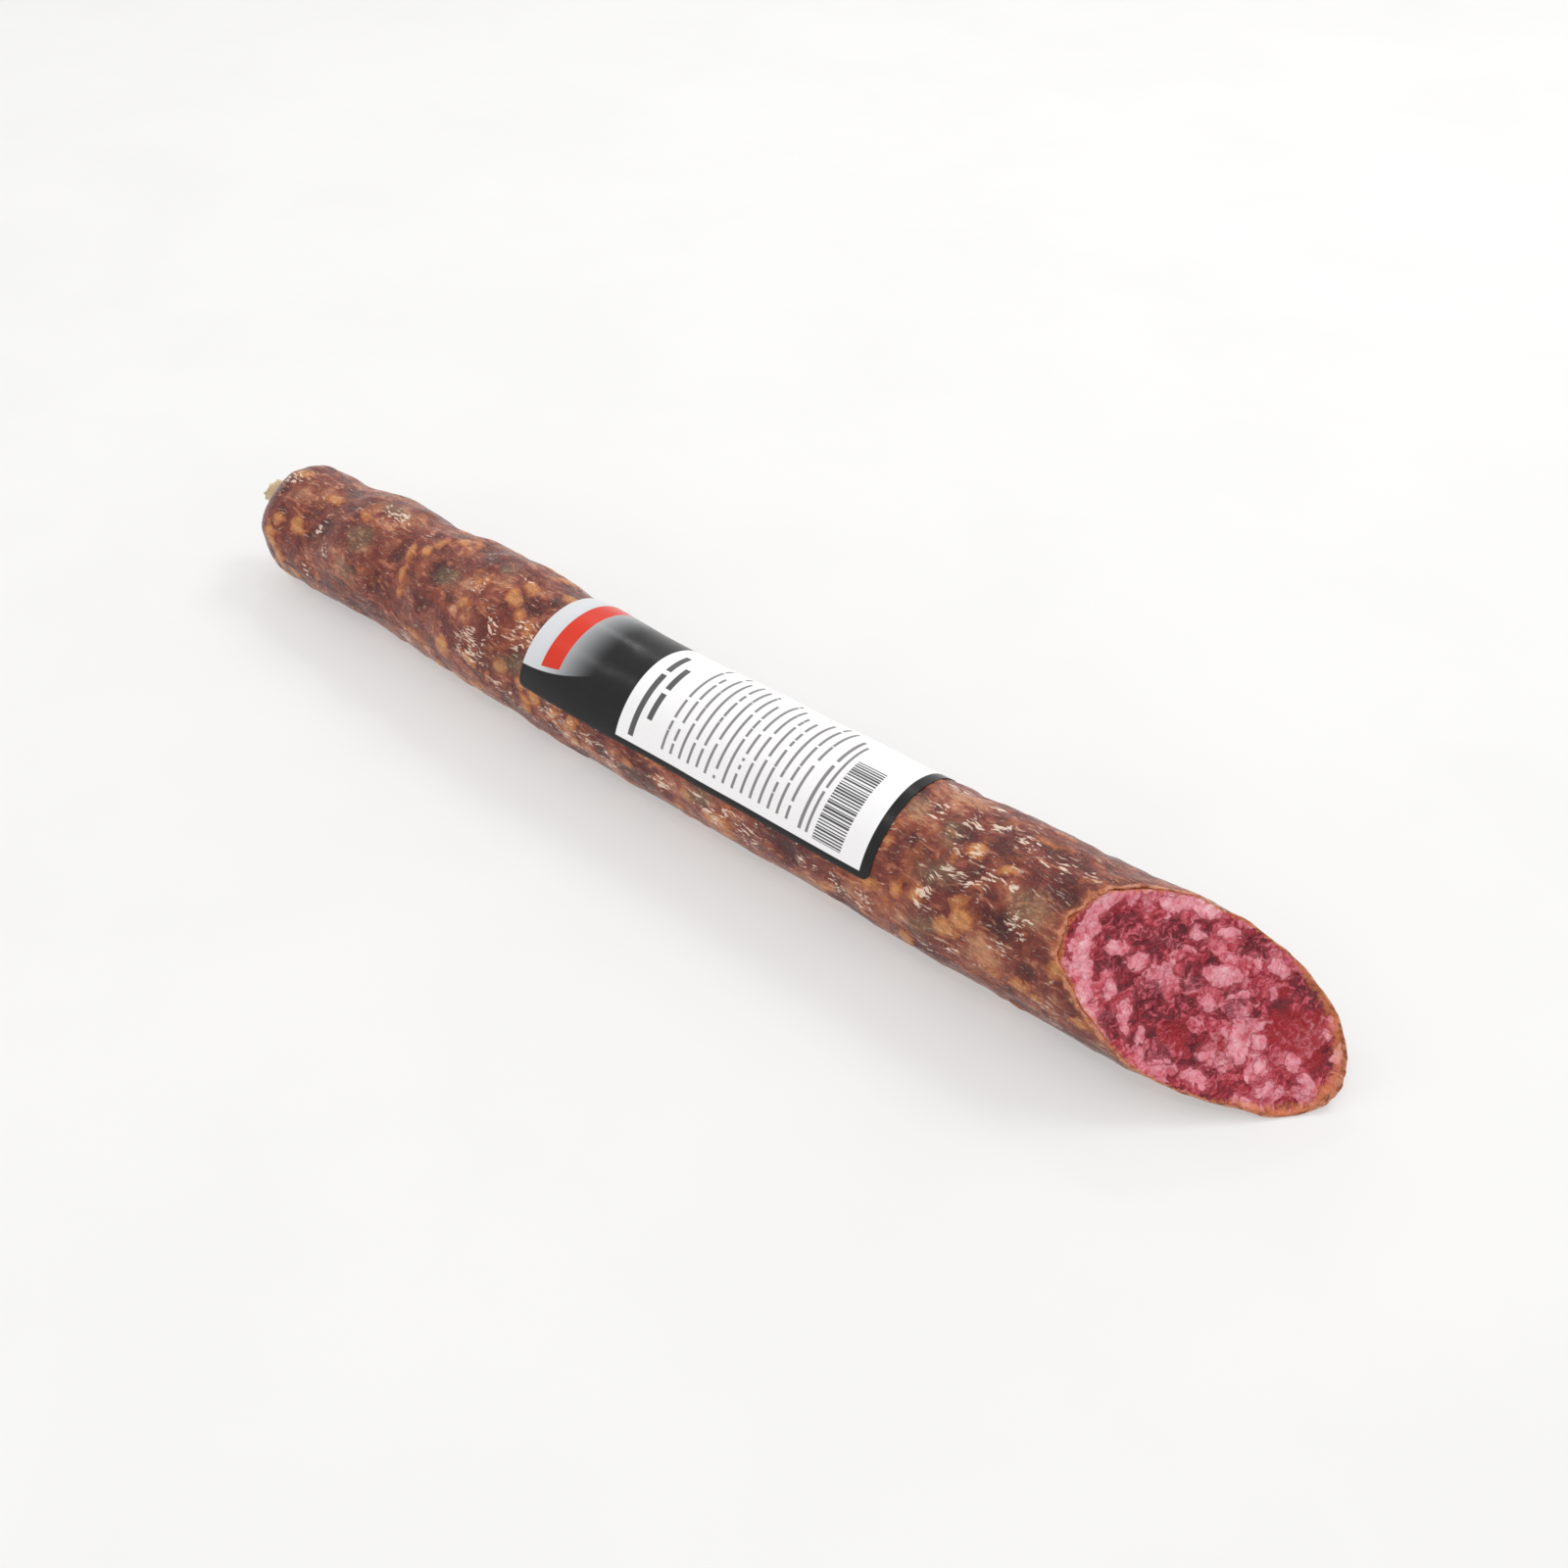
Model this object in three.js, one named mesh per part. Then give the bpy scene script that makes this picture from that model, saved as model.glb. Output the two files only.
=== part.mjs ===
// A dry-cured sausage with its last slices already cut away: seasoned meat stuffed in a gut
// casing, tied with twine at the far end, with a blank self-adhesive label wrapped over the top.
//
// Millimetres, +Z up. The sausage lies on its side along X, its slanting cut towards +X and
// its tied end towards -X. The origin is on the surface that it rests on, under its middle.
// Around the body, an angle is measured from the top and grows towards -Y.

import * as THREE from 'three';

// ---------------------------------------------------------------- driving dimensions

// Radius of the body at stations along its length, as [x, radius]. A dried sausage swells
// and narrows along its length, and this one tapers gently towards its tied end.
const GIRTH_STATIONS = [
  [-160, 17.8], [-144, 17.6], [-129, 19.3], [-117, 19.3], [-108, 18.8], [-88, 19.7],
  [-66, 20.6], [-50, 19.6], [-40, 19.9], [-12, 19.6], [24, 19.9], [60, 20.2],
  [88, 20.4], [104, 21.0], [140, 21.0], [190, 20.8],
];

// The spine bows sideways towards the tied end, and back and up a little towards the cut.
const SPINE_OFFSET = -0.1;
const SPINE_BOW = 3.1;
const SPINE_BOW_FROM = -24;
const SPINE_BOW_TO = -124;
const CUT_BEND_FROM = 108;
const CUT_BEND_TO = 168;
const CUT_BEND_BACK = 1.1;
const CUT_BEND_UP = 1.0;

// How far the sausage has settled into a flat on its underside.
const UNDERSIDE_FLAT_DEPTH = 1.0;
// Skin this close above the resting surface lies on it, so that the flat is one true plane.
const UNDERSIDE_FLAT_REACH = 0.15;

// Low swellings, each as [height, waves along X per mm, waves around, twist per mm, phase].
const SWELLINGS = [
  [0.40, 0.0120, 2, 0.0050, 0.6],
  [0.30, 0.0210, 3, -0.0080, 2.1],
  [0.22, 0.0330, 4, 0.0110, 4.0],
];
// The label is drawn tight, so the body is smoother under it and for a margin beyond its ends.
const SWELLING_UNDER_LABEL = 0.3;
const LABEL_SWELLING_MARGIN = 12;

// Blunt far end, gathered above its middle into a tied tail.
const END_START_X = -160;
const END_DEPTH = 12;
const END_BLUNTNESS = 2.2;
const GATHER_RISE = 1.0;
const TAIL_TILT = THREE.MathUtils.degToRad(25);
// Tail radius along the tail, as [distance from the end face, radius].
const TAIL_PROFILE = [[0.8, 3.0], [1.9, 2.2], [6.2, 2.2], [7.2, 3.2], [8.2, 3.9], [8.9, 3.4]];
const TAIL_POLE_DISTANCE = 8.7;
// The last ring of the end face is this many times as wide as the first ring of the tail.
const TAIL_ROOT_SPREAD = 1.5;
const TAIL_PLEATS = 8;
const TAIL_PLEAT_DEPTH = 0.12;

// The slanting cut: a plane given by its X on the axis line at CUT_HEIGHT, and its slopes.
const CUT_X = 151.4;
const CUT_HEIGHT = 20;
const CUT_SLOPE_UP = -1.185;
const CUT_SLOPE_BACK = 0.856;
// Steps that bring a point of the surface onto the plane, far more than it needs.
const CUT_STEPS = 12;

const CASING_THICKNESS = 0.6;
const FIT_GAP = 0.3;

const LABEL_START_X = -46.6;
const LABEL_END_X = 72.2;
const LABEL_FRONT_ANGLE = THREE.MathUtils.degToRad(77);
const LABEL_BACK_ANGLE = THREE.MathUtils.degToRad(-64);
const LABEL_THICKNESS = 0.3;
const LABEL_CORNER_RADIUS = 2;
// Rows of a rounded corner, as shares of its radius from the label's end.
const LABEL_CORNER_ROWS = [0, 0.1, 0.4, 1];

const TWINE_DIAMETER = 1.0;
const TWINE_TURNS = 3;
const TWINE_PITCH = 1.1;
const TWINE_START = 2.4;
const TWINE_STEPS_PER_TURN = 20;
const TWINE_SECTION_FACETS = 4;

// Facets around the body, and spacing of its rings.
const SEGMENTS_AROUND = 32;
const RING_SPACING = 8.5;
const SLANT_START_X = 96;
const SLANT_RINGS = 7;
const END_RINGS = 6;
// Smallest ring of an end that closes in a plain point, as a share of the full width.
const SMALLEST_END_SHARE = 0.12;

// ---------------------------------------------------------------- shape of the body

function smoothstep(from, to, value) {
  const t = THREE.MathUtils.clamp((value - from) / (to - from), 0, 1);
  return t * t * (3 - 2 * t);
}

// Reads a list of [place, value] stations, easing smoothly from each to the next.
function easedStations(stations, place) {
  const last = stations[stations.length - 1];
  if (place <= stations[0][0]) return stations[0][1];
  if (place >= last[0]) return last[1];
  const next = stations.findIndex(([at]) => at > place);
  const [fromPlace, fromValue] = stations[next - 1];
  const [toPlace, toValue] = stations[next];
  return THREE.MathUtils.lerp(fromValue, toValue, smoothstep(fromPlace, toPlace, place));
}

function swelling(x, angle) {
  const rise = smoothstep(LABEL_START_X - LABEL_SWELLING_MARGIN, LABEL_START_X, x);
  const fall = smoothstep(LABEL_END_X, LABEL_END_X + LABEL_SWELLING_MARGIN, x);
  const share = 1 - (1 - SWELLING_UNDER_LABEL) * (rise - fall);
  let height = 0;
  for (const [amount, along, around, twist, phase] of SWELLINGS) {
    height += amount * Math.sin(2 * Math.PI * along * x + phase)
      * Math.cos(around * angle + 2 * Math.PI * twist * x);
  }
  return share * height;
}

function spineY(x) {
  const bow = SPINE_BOW * smoothstep(-SPINE_BOW_FROM, -SPINE_BOW_TO, -x);
  return SPINE_OFFSET + bow + CUT_BEND_BACK * smoothstep(CUT_BEND_FROM, CUT_BEND_TO, x);
}

function spineZ(x) {
  const lift = CUT_BEND_UP * smoothstep(CUT_BEND_FROM, CUT_BEND_TO, x);
  return easedStations(GIRTH_STATIONS, x) - UNDERSIDE_FLAT_DEPTH + lift;
}

// A point of the body's surface, or of the surface that lies `inset` inside it. The underside
// is flattened where the round section would sink below the resting surface or barely clear it.
function bodyPoint(x, angle, inset) {
  const radius = easedStations(GIRTH_STATIONS, x) + swelling(x, angle) - inset;
  const z = spineZ(x) + radius * Math.cos(angle);
  const resting = z < inset || (inset === 0 && z < UNDERSIDE_FLAT_REACH);
  return new THREE.Vector3(x, spineY(x) - radius * Math.sin(angle), resting ? inset : z);
}

// X at which the cut plane meets the body's surface along one angle.
function cutX(angle, inset) {
  let x = CUT_X;
  for (let step = 0; step < CUT_STEPS; step += 1) {
    const point = bodyPoint(x, angle, inset);
    x = CUT_X + CUT_SLOPE_UP * (point.z - CUT_HEIGHT) + CUT_SLOPE_BACK * point.y;
  }
  return x;
}

// ---------------------------------------------------------------- rings of points

// Angles of a ring's points, from half a turn behind the top to half a turn in front.
const RING_ANGLES = [];
for (let step = 0; step < SEGMENTS_AROUND; step += 1) {
  RING_ANGLES.push(-Math.PI + (2 * Math.PI * step) / SEGMENTS_AROUND);
}

// Places of the upright rings along the body.
const UPRIGHT_PLACES = [];
const UPRIGHT_RINGS = Math.round((SLANT_START_X - END_START_X) / RING_SPACING);
for (let step = 0; step <= UPRIGHT_RINGS; step += 1) {
  UPRIGHT_PLACES.push(THREE.MathUtils.lerp(END_START_X, SLANT_START_X, step / UPRIGHT_RINGS));
}

function ringOf(pointAt) {
  return RING_ANGLES.map((angle) => pointAt(angle));
}

// Upright rings along the body, then rings that lean more and more until they lie in the cut.
function bodyRings(inset) {
  const rings = UPRIGHT_PLACES.map((x) => ringOf((angle) => bodyPoint(x, angle, inset)));
  for (let step = 1; step <= SLANT_RINGS; step += 1) {
    const share = step / SLANT_RINGS;
    rings.push(ringOf((angle) => {
      const x = THREE.MathUtils.lerp(SLANT_START_X, cutX(angle, inset), share);
      return bodyPoint(x, angle, inset);
    }));
  }
  return rings;
}

// Where the end face comes to a point, on the surface `inset` inside the outer one.
function endPole(inset) {
  const x = END_START_X - (END_DEPTH - inset);
  return new THREE.Vector3(x, spineY(END_START_X), spineZ(END_START_X) + GATHER_RISE);
}

// One ring of the blunt end: a superellipse whose rings shrink by `share` towards the gather.
function endRing(share, inset) {
  const reach = (1 - share ** END_BLUNTNESS) ** (1 / END_BLUNTNESS);
  const pole = endPole(inset);
  return ringOf((angle) => {
    const edge = bodyPoint(END_START_X, angle, inset);
    const point = pole.clone().lerp(edge, share);
    point.x = THREE.MathUtils.lerp(END_START_X, pole.x, reach);
    return point;
  });
}

// Rings of the blunt end, from the smallest to the one next to the body.
function endRings(inset, smallestShare) {
  const rings = [];
  const steepest = Math.acos(smallestShare ** (END_BLUNTNESS / 2));
  for (let step = END_RINGS; step >= 1; step -= 1) {
    const share = Math.cos((steepest * step) / END_RINGS) ** (2 / END_BLUNTNESS);
    rings.push(endRing(share, inset));
  }
  return rings;
}

// ---------------------------------------------------------------- the gathered tail

const TAIL_DIRECTION = new THREE.Vector3(-Math.cos(TAIL_TILT), 0, Math.sin(TAIL_TILT));
const TAIL_UPWARD = new THREE.Vector3(Math.sin(TAIL_TILT), 0, Math.cos(TAIL_TILT));
const TAIL_SIDEWAYS = new THREE.Vector3(0, -1, 0);

// A point at a distance along the tail's axis, and a radius and angle around it.
function tailPoint(distance, radius, angle) {
  return endPole(0)
    .addScaledVector(TAIL_DIRECTION, distance)
    .addScaledVector(TAIL_UPWARD, radius * Math.cos(angle))
    .addScaledVector(TAIL_SIDEWAYS, radius * Math.sin(angle));
}

// Pleated rings of the tail, from its free end to the end face.
function tailRings() {
  return TAIL_PROFILE.slice().reverse().map(([distance, radius]) => ringOf((angle) => {
    const pleat = 1 + TAIL_PLEAT_DEPTH * Math.cos(TAIL_PLEATS * angle);
    return tailPoint(distance, radius * pleat, angle);
  }));
}

// ---------------------------------------------------------------- closed meshes

function geometryFrom(points, triangles) {
  const geometry = new THREE.BufferGeometry().setFromPoints(points);
  geometry.setIndex(triangles);
  geometry.computeVertexNormals();
  return geometry;
}

// Two triangles for the corners a, b, c and d of a face, split along the shorter diagonal, so
// that surfaces that run side by side are split alike.
function quadTriangles(points, a, b, c, d) {
  const direct = points[a].distanceToSquared(points[c]);
  const crosswise = points[b].distanceToSquared(points[d]);
  return direct < crosswise ? [a, b, c, a, c, d] : [a, b, d, b, c, d];
}

// Skins a stack of rings and closes it with a fan to a point at each end.
function stackGeometry(firstPole, rings, lastPole) {
  const count = rings[0].length;
  const points = [...rings.flat(), firstPole, lastPole];
  const firstIndex = points.length - 2;
  const lastIndex = points.length - 1;
  const triangles = [];
  for (let ring = 0; ring < rings.length - 1; ring += 1) {
    for (let step = 0; step < count; step += 1) {
      const here = ring * count + step;
      const beside = ring * count + ((step + 1) % count);
      triangles.push(...quadTriangles(points, here, beside, beside + count, here + count));
    }
  }
  const lastRing = (rings.length - 1) * count;
  for (let step = 0; step < count; step += 1) {
    const beside = (step + 1) % count;
    triangles.push(firstIndex, beside, step);
    triangles.push(lastRing + step, lastRing + beside, lastIndex);
  }
  return geometryFrom(points, triangles);
}

// A sheet with thickness: an outer and an inner grid of points, joined along their border.
function sheetGeometry(rows, columns, pointAt) {
  const points = [];
  for (const inset of [-FIT_GAP - LABEL_THICKNESS, -FIT_GAP]) {
    for (const row of rows) {
      for (const column of columns) {
        points.push(pointAt(row, column, inset));
      }
    }
  }
  const wide = columns.length;
  const layer = rows.length * wide;
  const triangles = [];
  const addQuad = (...corners) => triangles.push(...quadTriangles(points, ...corners));
  for (let row = 0; row < rows.length - 1; row += 1) {
    for (let column = 0; column < wide - 1; column += 1) {
      const above = row * wide + column;
      const below = layer + above;
      addQuad(above, above + 1, above + 1 + wide, above + wide);
      addQuad(below, below + wide, below + 1 + wide, below + 1);
    }
    const left = row * wide;
    const right = left + wide - 1;
    addQuad(left, left + wide, left + wide + layer, left + layer);
    addQuad(right + wide, right, right + layer, right + wide + layer);
  }
  for (let near = 0; near < wide - 1; near += 1) {
    const far = layer - wide + near;
    addQuad(near + 1, near, near + layer, near + 1 + layer);
    addQuad(far, far + 1, far + 1 + layer, far + layer);
  }
  return geometryFrom(points, triangles);
}

// ---------------------------------------------------------------- the pieces

// The stuffing: solid meat and fat, bounded by the casing and by the slanting cut.
function meatGeometry() {
  const inset = CASING_THICKNESS + FIT_GAP;
  const rings = [...endRings(inset, SMALLEST_END_SHARE), ...bodyRings(inset)];
  const cutRing = rings[rings.length - 1];
  const cutCentre = new THREE.Vector3();
  cutRing.forEach((point) => cutCentre.addScaledVector(point, 1 / cutRing.length));
  return stackGeometry(endPole(inset), rings, cutCentre);
}

// The gut casing: a thin sleeve, open at the cut and gathered into the tail at the far end.
function casingGeometry() {
  const rootRadius = TAIL_PROFILE[0][1] * TAIL_ROOT_SPREAD;
  const rootShare = rootRadius / easedStations(GIRTH_STATIONS, END_START_X);
  const outside = [...tailRings(), ...endRings(0, rootShare), ...bodyRings(0)];
  const innerEnd = endRings(CASING_THICKNESS, SMALLEST_END_SHARE);
  const inside = [...innerEnd, ...bodyRings(CASING_THICKNESS)];
  const tailPole = tailPoint(TAIL_POLE_DISTANCE, 0, 0);
  return stackGeometry(tailPole, [...outside, ...inside.reverse()], endPole(CASING_THICKNESS));
}

// The label: a rectangle with rounded corners, bent round the body. Its rows and columns lie
// over the rings and angles of the body, with a few closer rows where the corners round.
function labelGeometry() {
  const corner = LABEL_CORNER_RADIUS;
  const fromEnd = LABEL_CORNER_ROWS.map((share) => share * corner);
  const places = [
    ...fromEnd.map((distance) => LABEL_START_X + distance),
    ...UPRIGHT_PLACES.filter((x) => x > LABEL_START_X + corner && x < LABEL_END_X - corner),
    ...fromEnd.map((distance) => LABEL_END_X - distance).reverse(),
  ];
  const angles = [
    LABEL_BACK_ANGLE,
    ...RING_ANGLES.filter((angle) => angle > LABEL_BACK_ANGLE && angle < LABEL_FRONT_ANGLE),
    LABEL_FRONT_ANGLE,
  ];
  return sheetGeometry(places, angles, (x, angle, inset) => {
    const fromNearerEnd = Math.min(x - LABEL_START_X, LABEL_END_X - x, corner);
    const cutBack = corner - Math.sqrt(corner ** 2 - (corner - fromNearerEnd) ** 2);
    const trim = cutBack / easedStations(GIRTH_STATIONS, x);
    const trimmed = THREE.MathUtils.clamp(angle, LABEL_BACK_ANGLE + trim, LABEL_FRONT_ANGLE - trim);
    return bodyPoint(x, trimmed, inset);
  });
}

// The path of the twine: a close helix round the neck of the tail.
class TwinePath extends THREE.Curve {
  getPoint(share) {
    const neckRadius = TAIL_PROFILE[1][1] * (1 + TAIL_PLEAT_DEPTH);
    const radius = neckRadius + FIT_GAP + TWINE_DIAMETER / 2;
    const turn = share * TWINE_TURNS;
    return tailPoint(TWINE_START + turn * TWINE_PITCH, radius, 2 * Math.PI * turn);
  }
}

// The tie: a few turns of round string.
function twineGeometry() {
  const section = new THREE.Shape();
  section.absarc(0, 0, TWINE_DIAMETER / 2, 0, 2 * Math.PI, false);
  return new THREE.ExtrudeGeometry(section, {
    extrudePath: new TwinePath(),
    steps: TWINE_STEPS_PER_TURN * TWINE_TURNS,
    curveSegments: TWINE_SECTION_FACETS,
    bevelEnabled: false,
  });
}

// ---------------------------------------------------------------- the scene graph

function addPiece(group, name, geometry, colour, roughness) {
  const material = new THREE.MeshStandardMaterial({ color: colour, roughness, metalness: 0 });
  const piece = new THREE.Mesh(geometry, material);
  piece.name = name;
  group.add(piece);
}

const sausage = new THREE.Group();
addPiece(sausage, 'meat', meatGeometry(), 0x7d2430, 0.45);
addPiece(sausage, 'casing', casingGeometry(), 0x8a4a36, 0.35);
addPiece(sausage, 'tie_twine', twineGeometry(), 0xd8c9a3, 0.9);
addPiece(sausage, 'label', labelGeometry(), 0xf2f1ee, 0.3);

export default sausage;
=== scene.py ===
# %% [markdown]
# # A cut dry-cured sausage
#
# The object is a dried sausage whose last slices are already gone. Its imported model is the
# fixed frame: a meat body, a gut casing, a twine tie and a label. This file builds the finished
# surface of each piece inside that frame, in metres, with +Z up and the cut towards +X.
#
# The frame is loaded first, and the finished pieces are made to fit inside it.

# %% Load the frame
import math

import bpy
import numpy as np
from mathutils import Matrix, Vector


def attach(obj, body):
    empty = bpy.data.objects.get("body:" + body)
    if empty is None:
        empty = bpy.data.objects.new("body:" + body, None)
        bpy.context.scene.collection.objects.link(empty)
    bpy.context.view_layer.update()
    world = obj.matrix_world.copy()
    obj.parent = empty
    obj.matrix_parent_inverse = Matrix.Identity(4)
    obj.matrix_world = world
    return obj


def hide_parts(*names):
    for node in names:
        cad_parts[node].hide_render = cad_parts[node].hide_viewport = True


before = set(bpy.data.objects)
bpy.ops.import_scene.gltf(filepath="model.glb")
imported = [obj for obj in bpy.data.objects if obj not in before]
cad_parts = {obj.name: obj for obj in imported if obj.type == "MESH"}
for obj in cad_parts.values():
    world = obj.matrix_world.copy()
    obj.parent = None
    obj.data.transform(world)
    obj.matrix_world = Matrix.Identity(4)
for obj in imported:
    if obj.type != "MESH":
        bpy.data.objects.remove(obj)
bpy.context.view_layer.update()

# %% [markdown]
# ## Camera
#
# The camera stands in front of the cut end and looks down on the sausage at about 41 degrees,
# with no roll. Its three axes are worked out from one look direction, so the camera can't
# be twisted by accident. It is made first, and nothing else depends on it.

# %% The camera
CAMERA_PLACE = Vector((0.2483, -0.2604, 0.3117))
CAMERA_BACKWARD = Vector((0.4853, -0.5802, 0.6541)).normalized()
LENS_MM = 40.5


def add_camera():
    """A level camera: its right is horizontal, and its up is square to right and backward."""
    right = Vector((0, 0, 1)).cross(CAMERA_BACKWARD).normalized()
    up = CAMERA_BACKWARD.cross(right)
    data = bpy.data.cameras.new("camera")
    data.lens = LENS_MM
    data.clip_start = 0.01
    camera = bpy.data.objects.new("camera", data)
    camera.matrix_world = Matrix((right, up, CAMERA_BACKWARD)).transposed().to_4x4()
    camera.location = CAMERA_PLACE
    bpy.context.scene.collection.objects.link(camera)
    bpy.context.scene.camera = camera
    return camera


camera = add_camera()
print("camera looks down", round(math.degrees(math.asin(CAMERA_BACKWARD.z)), 1), "degrees")

# %% [markdown]
# ## Smooth noise for shapes
#
# Lumps and wrinkles in the mesh need a noise that gives the same result on every run. Value
# noise does: each whole-numbered point of a lattice gets a hashed number, and the numbers are
# blended between points. It works on whole arrays of points at once. The same few helpers
# ease a value from one number to another.

# %% Noise and easing
def ease(start, end, value):
    """0 before start, 1 after end, and 3t^2 - 2t^3 between them."""
    t = np.clip((value - start) / (end - start), 0, 1)
    return t * t * (3 - 2 * t)


def lattice(cells, seed):
    """A hashed number from 0 to 1 for each whole-numbered point, by mixing its coordinates."""
    whole = cells.astype(np.int64)
    mixed = whole[..., 0] * 374761393 + whole[..., 1] * 668265263 + whole[..., 2] * 2147483647
    mixed = (mixed + seed * 1274126177) & 0xFFFFFFFF
    mixed = ((mixed ^ (mixed >> 13)) * 1274126177) & 0xFFFFFFFF
    mixed = ((mixed ^ (mixed >> 16)) * 2246822519) & 0xFFFFFFFF
    return ((mixed ^ (mixed >> 15)) & 0xFFFFFF) / 0xFFFFFF


def value_noise(points, seed):
    """Lattice numbers blended with 6t^5 - 15t^4 + 10t^3 between the 8 corners, from -1 to 1."""
    low = np.floor(points)
    t = points - low
    t = t * t * t * (t * (t * 6 - 15) + 10)
    total = 0
    for corner in range(8):
        step = np.array([corner & 1, corner >> 1 & 1, corner >> 2 & 1])
        share = np.prod(np.where(step, t, 1 - t), axis=-1)
        total = total + share * lattice(low + step, seed)
    return total * 2 - 1


def layered_noise(points, size, seed, layers=3):
    """Value noise whose lumps are `size` across, plus finer and weaker layers of it."""
    total = 0
    for layer in range(layers):
        total = total + value_noise(points * 2**layer / size, seed + layer) / 2**layer
    return total


# %% [markdown]
# ## The shape of the body
#
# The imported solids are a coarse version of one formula. The same formula, in the same
# millimetres, gives the fine surface here: a radius that changes along the length, a bowed
# spine, low swellings, a flattened underside and a blunt end. A point is named by its place
# x along the body and its angle from the top, which grows towards the front.

# %% Driving sizes of the body, in millimetres
MM = 0.001
GIRTH_STATIONS = (
    (-160, 17.8), (-144, 17.6), (-129, 19.3), (-117, 19.3), (-108, 18.8), (-88, 19.7),
    (-66, 20.6), (-50, 19.6), (-40, 19.9), (-12, 19.6), (24, 19.9), (60, 20.2),
    (88, 20.4), (104, 21.0), (140, 21.0), (190, 20.8),
)
SWELLINGS = (
    (0.40, 0.0120, 2, 0.0050, 0.6),
    (0.30, 0.0210, 3, -0.0080, 2.1),
    (0.22, 0.0330, 4, 0.0110, 4.0),
)
END_START_X, END_DEPTH, END_BLUNTNESS = -160, 12, 2.2
GATHER_RISE = 1.0
CUT_X, CUT_HEIGHT, CUT_SLOPE_UP, CUT_SLOPE_BACK = 151.4, 20, -1.185, 0.856
LABEL_START_X, LABEL_END_X = -46.6, 72.2
LABEL_FRONT_ANGLE, LABEL_BACK_ANGLE = math.radians(77), math.radians(-64)
LABEL_MARGIN, LABEL_CALM = 12, 0.7
SPINE_OFFSET, SPINE_BOW, BOW_FROM, BOW_TO = -0.1, 3.1, 24, 124
BEND_FROM, BEND_TO, BEND_BACK, BEND_UP = 108, 168, 1.1, 1.0
UNDERSIDE_FLAT_DEPTH = 1.0
RELIEF_DEPTH = 0.55
REST_SOFTNESS = 0.6
MEAN_RADIUS = 20


def girth(x):
    """Radius at x, eased from each station to the next."""
    places, radii = np.array(GIRTH_STATIONS, float).T
    before = np.clip(np.searchsorted(places, x, side="right") - 1, 0, len(places) - 2)
    t = ease(places[before], places[before + 1], x)
    return radii[before] + (radii[before + 1] - radii[before]) * t


def under_label(x):
    """1 along the label and 0 beyond it, with a soft margin."""
    rise = ease(LABEL_START_X - LABEL_MARGIN, LABEL_START_X, x)
    return rise - ease(LABEL_END_X, LABEL_END_X + LABEL_MARGIN, x)


def swelling(x, angle):
    """A sum of sine waves along x times cosine waves around the body, calmer at the label."""
    height = 0
    for amount, along, around, twist, phase in SWELLINGS:
        wave = np.sin(2 * np.pi * along * x + phase)
        height = height + amount * wave * np.cos(around * angle + 2 * np.pi * twist * x)
    return (1 - LABEL_CALM * under_label(x)) * height


def spine(x):
    """Sideways place and height of the body's middle line: it bows sideways towards the tied
    end, and bends back and up a little towards the cut."""
    bend = ease(BEND_FROM, BEND_TO, x)
    sideways = SPINE_OFFSET + SPINE_BOW * ease(BOW_FROM, BOW_TO, -x) + BEND_BACK * bend
    return sideways, girth(x) - UNDERSIDE_FLAT_DEPTH + BEND_UP * bend


def rested(height, inset):
    """Heights kept above the base: (d + sqrt(d^2 + k^2)) / 2 over it, where d is the height
    over the base before and k the softness, so that the round flank eases into the flat."""
    depth = height - inset
    return inset + (depth + np.sqrt(depth**2 + REST_SOFTNESS**2)) / 2


def rested_point(x, angle, radius, inset):
    """The point at a radius and an angle around the spine, with its height rested."""
    middle_y, middle_z = spine(x)
    z = rested(middle_z + radius * np.cos(angle), inset)
    return np.stack([x, middle_y - radius * np.sin(angle), z], axis=-1)


def smooth_body(x, angle, inset=0.0):
    """A point at radius r = girth + swelling - inset around the spine, never below the base."""
    return rested_point(x, angle, girth(x) + swelling(x, angle) - inset, inset)


print("length along the top", round(CUT_X - END_START_X + END_DEPTH), "mm")
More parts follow.
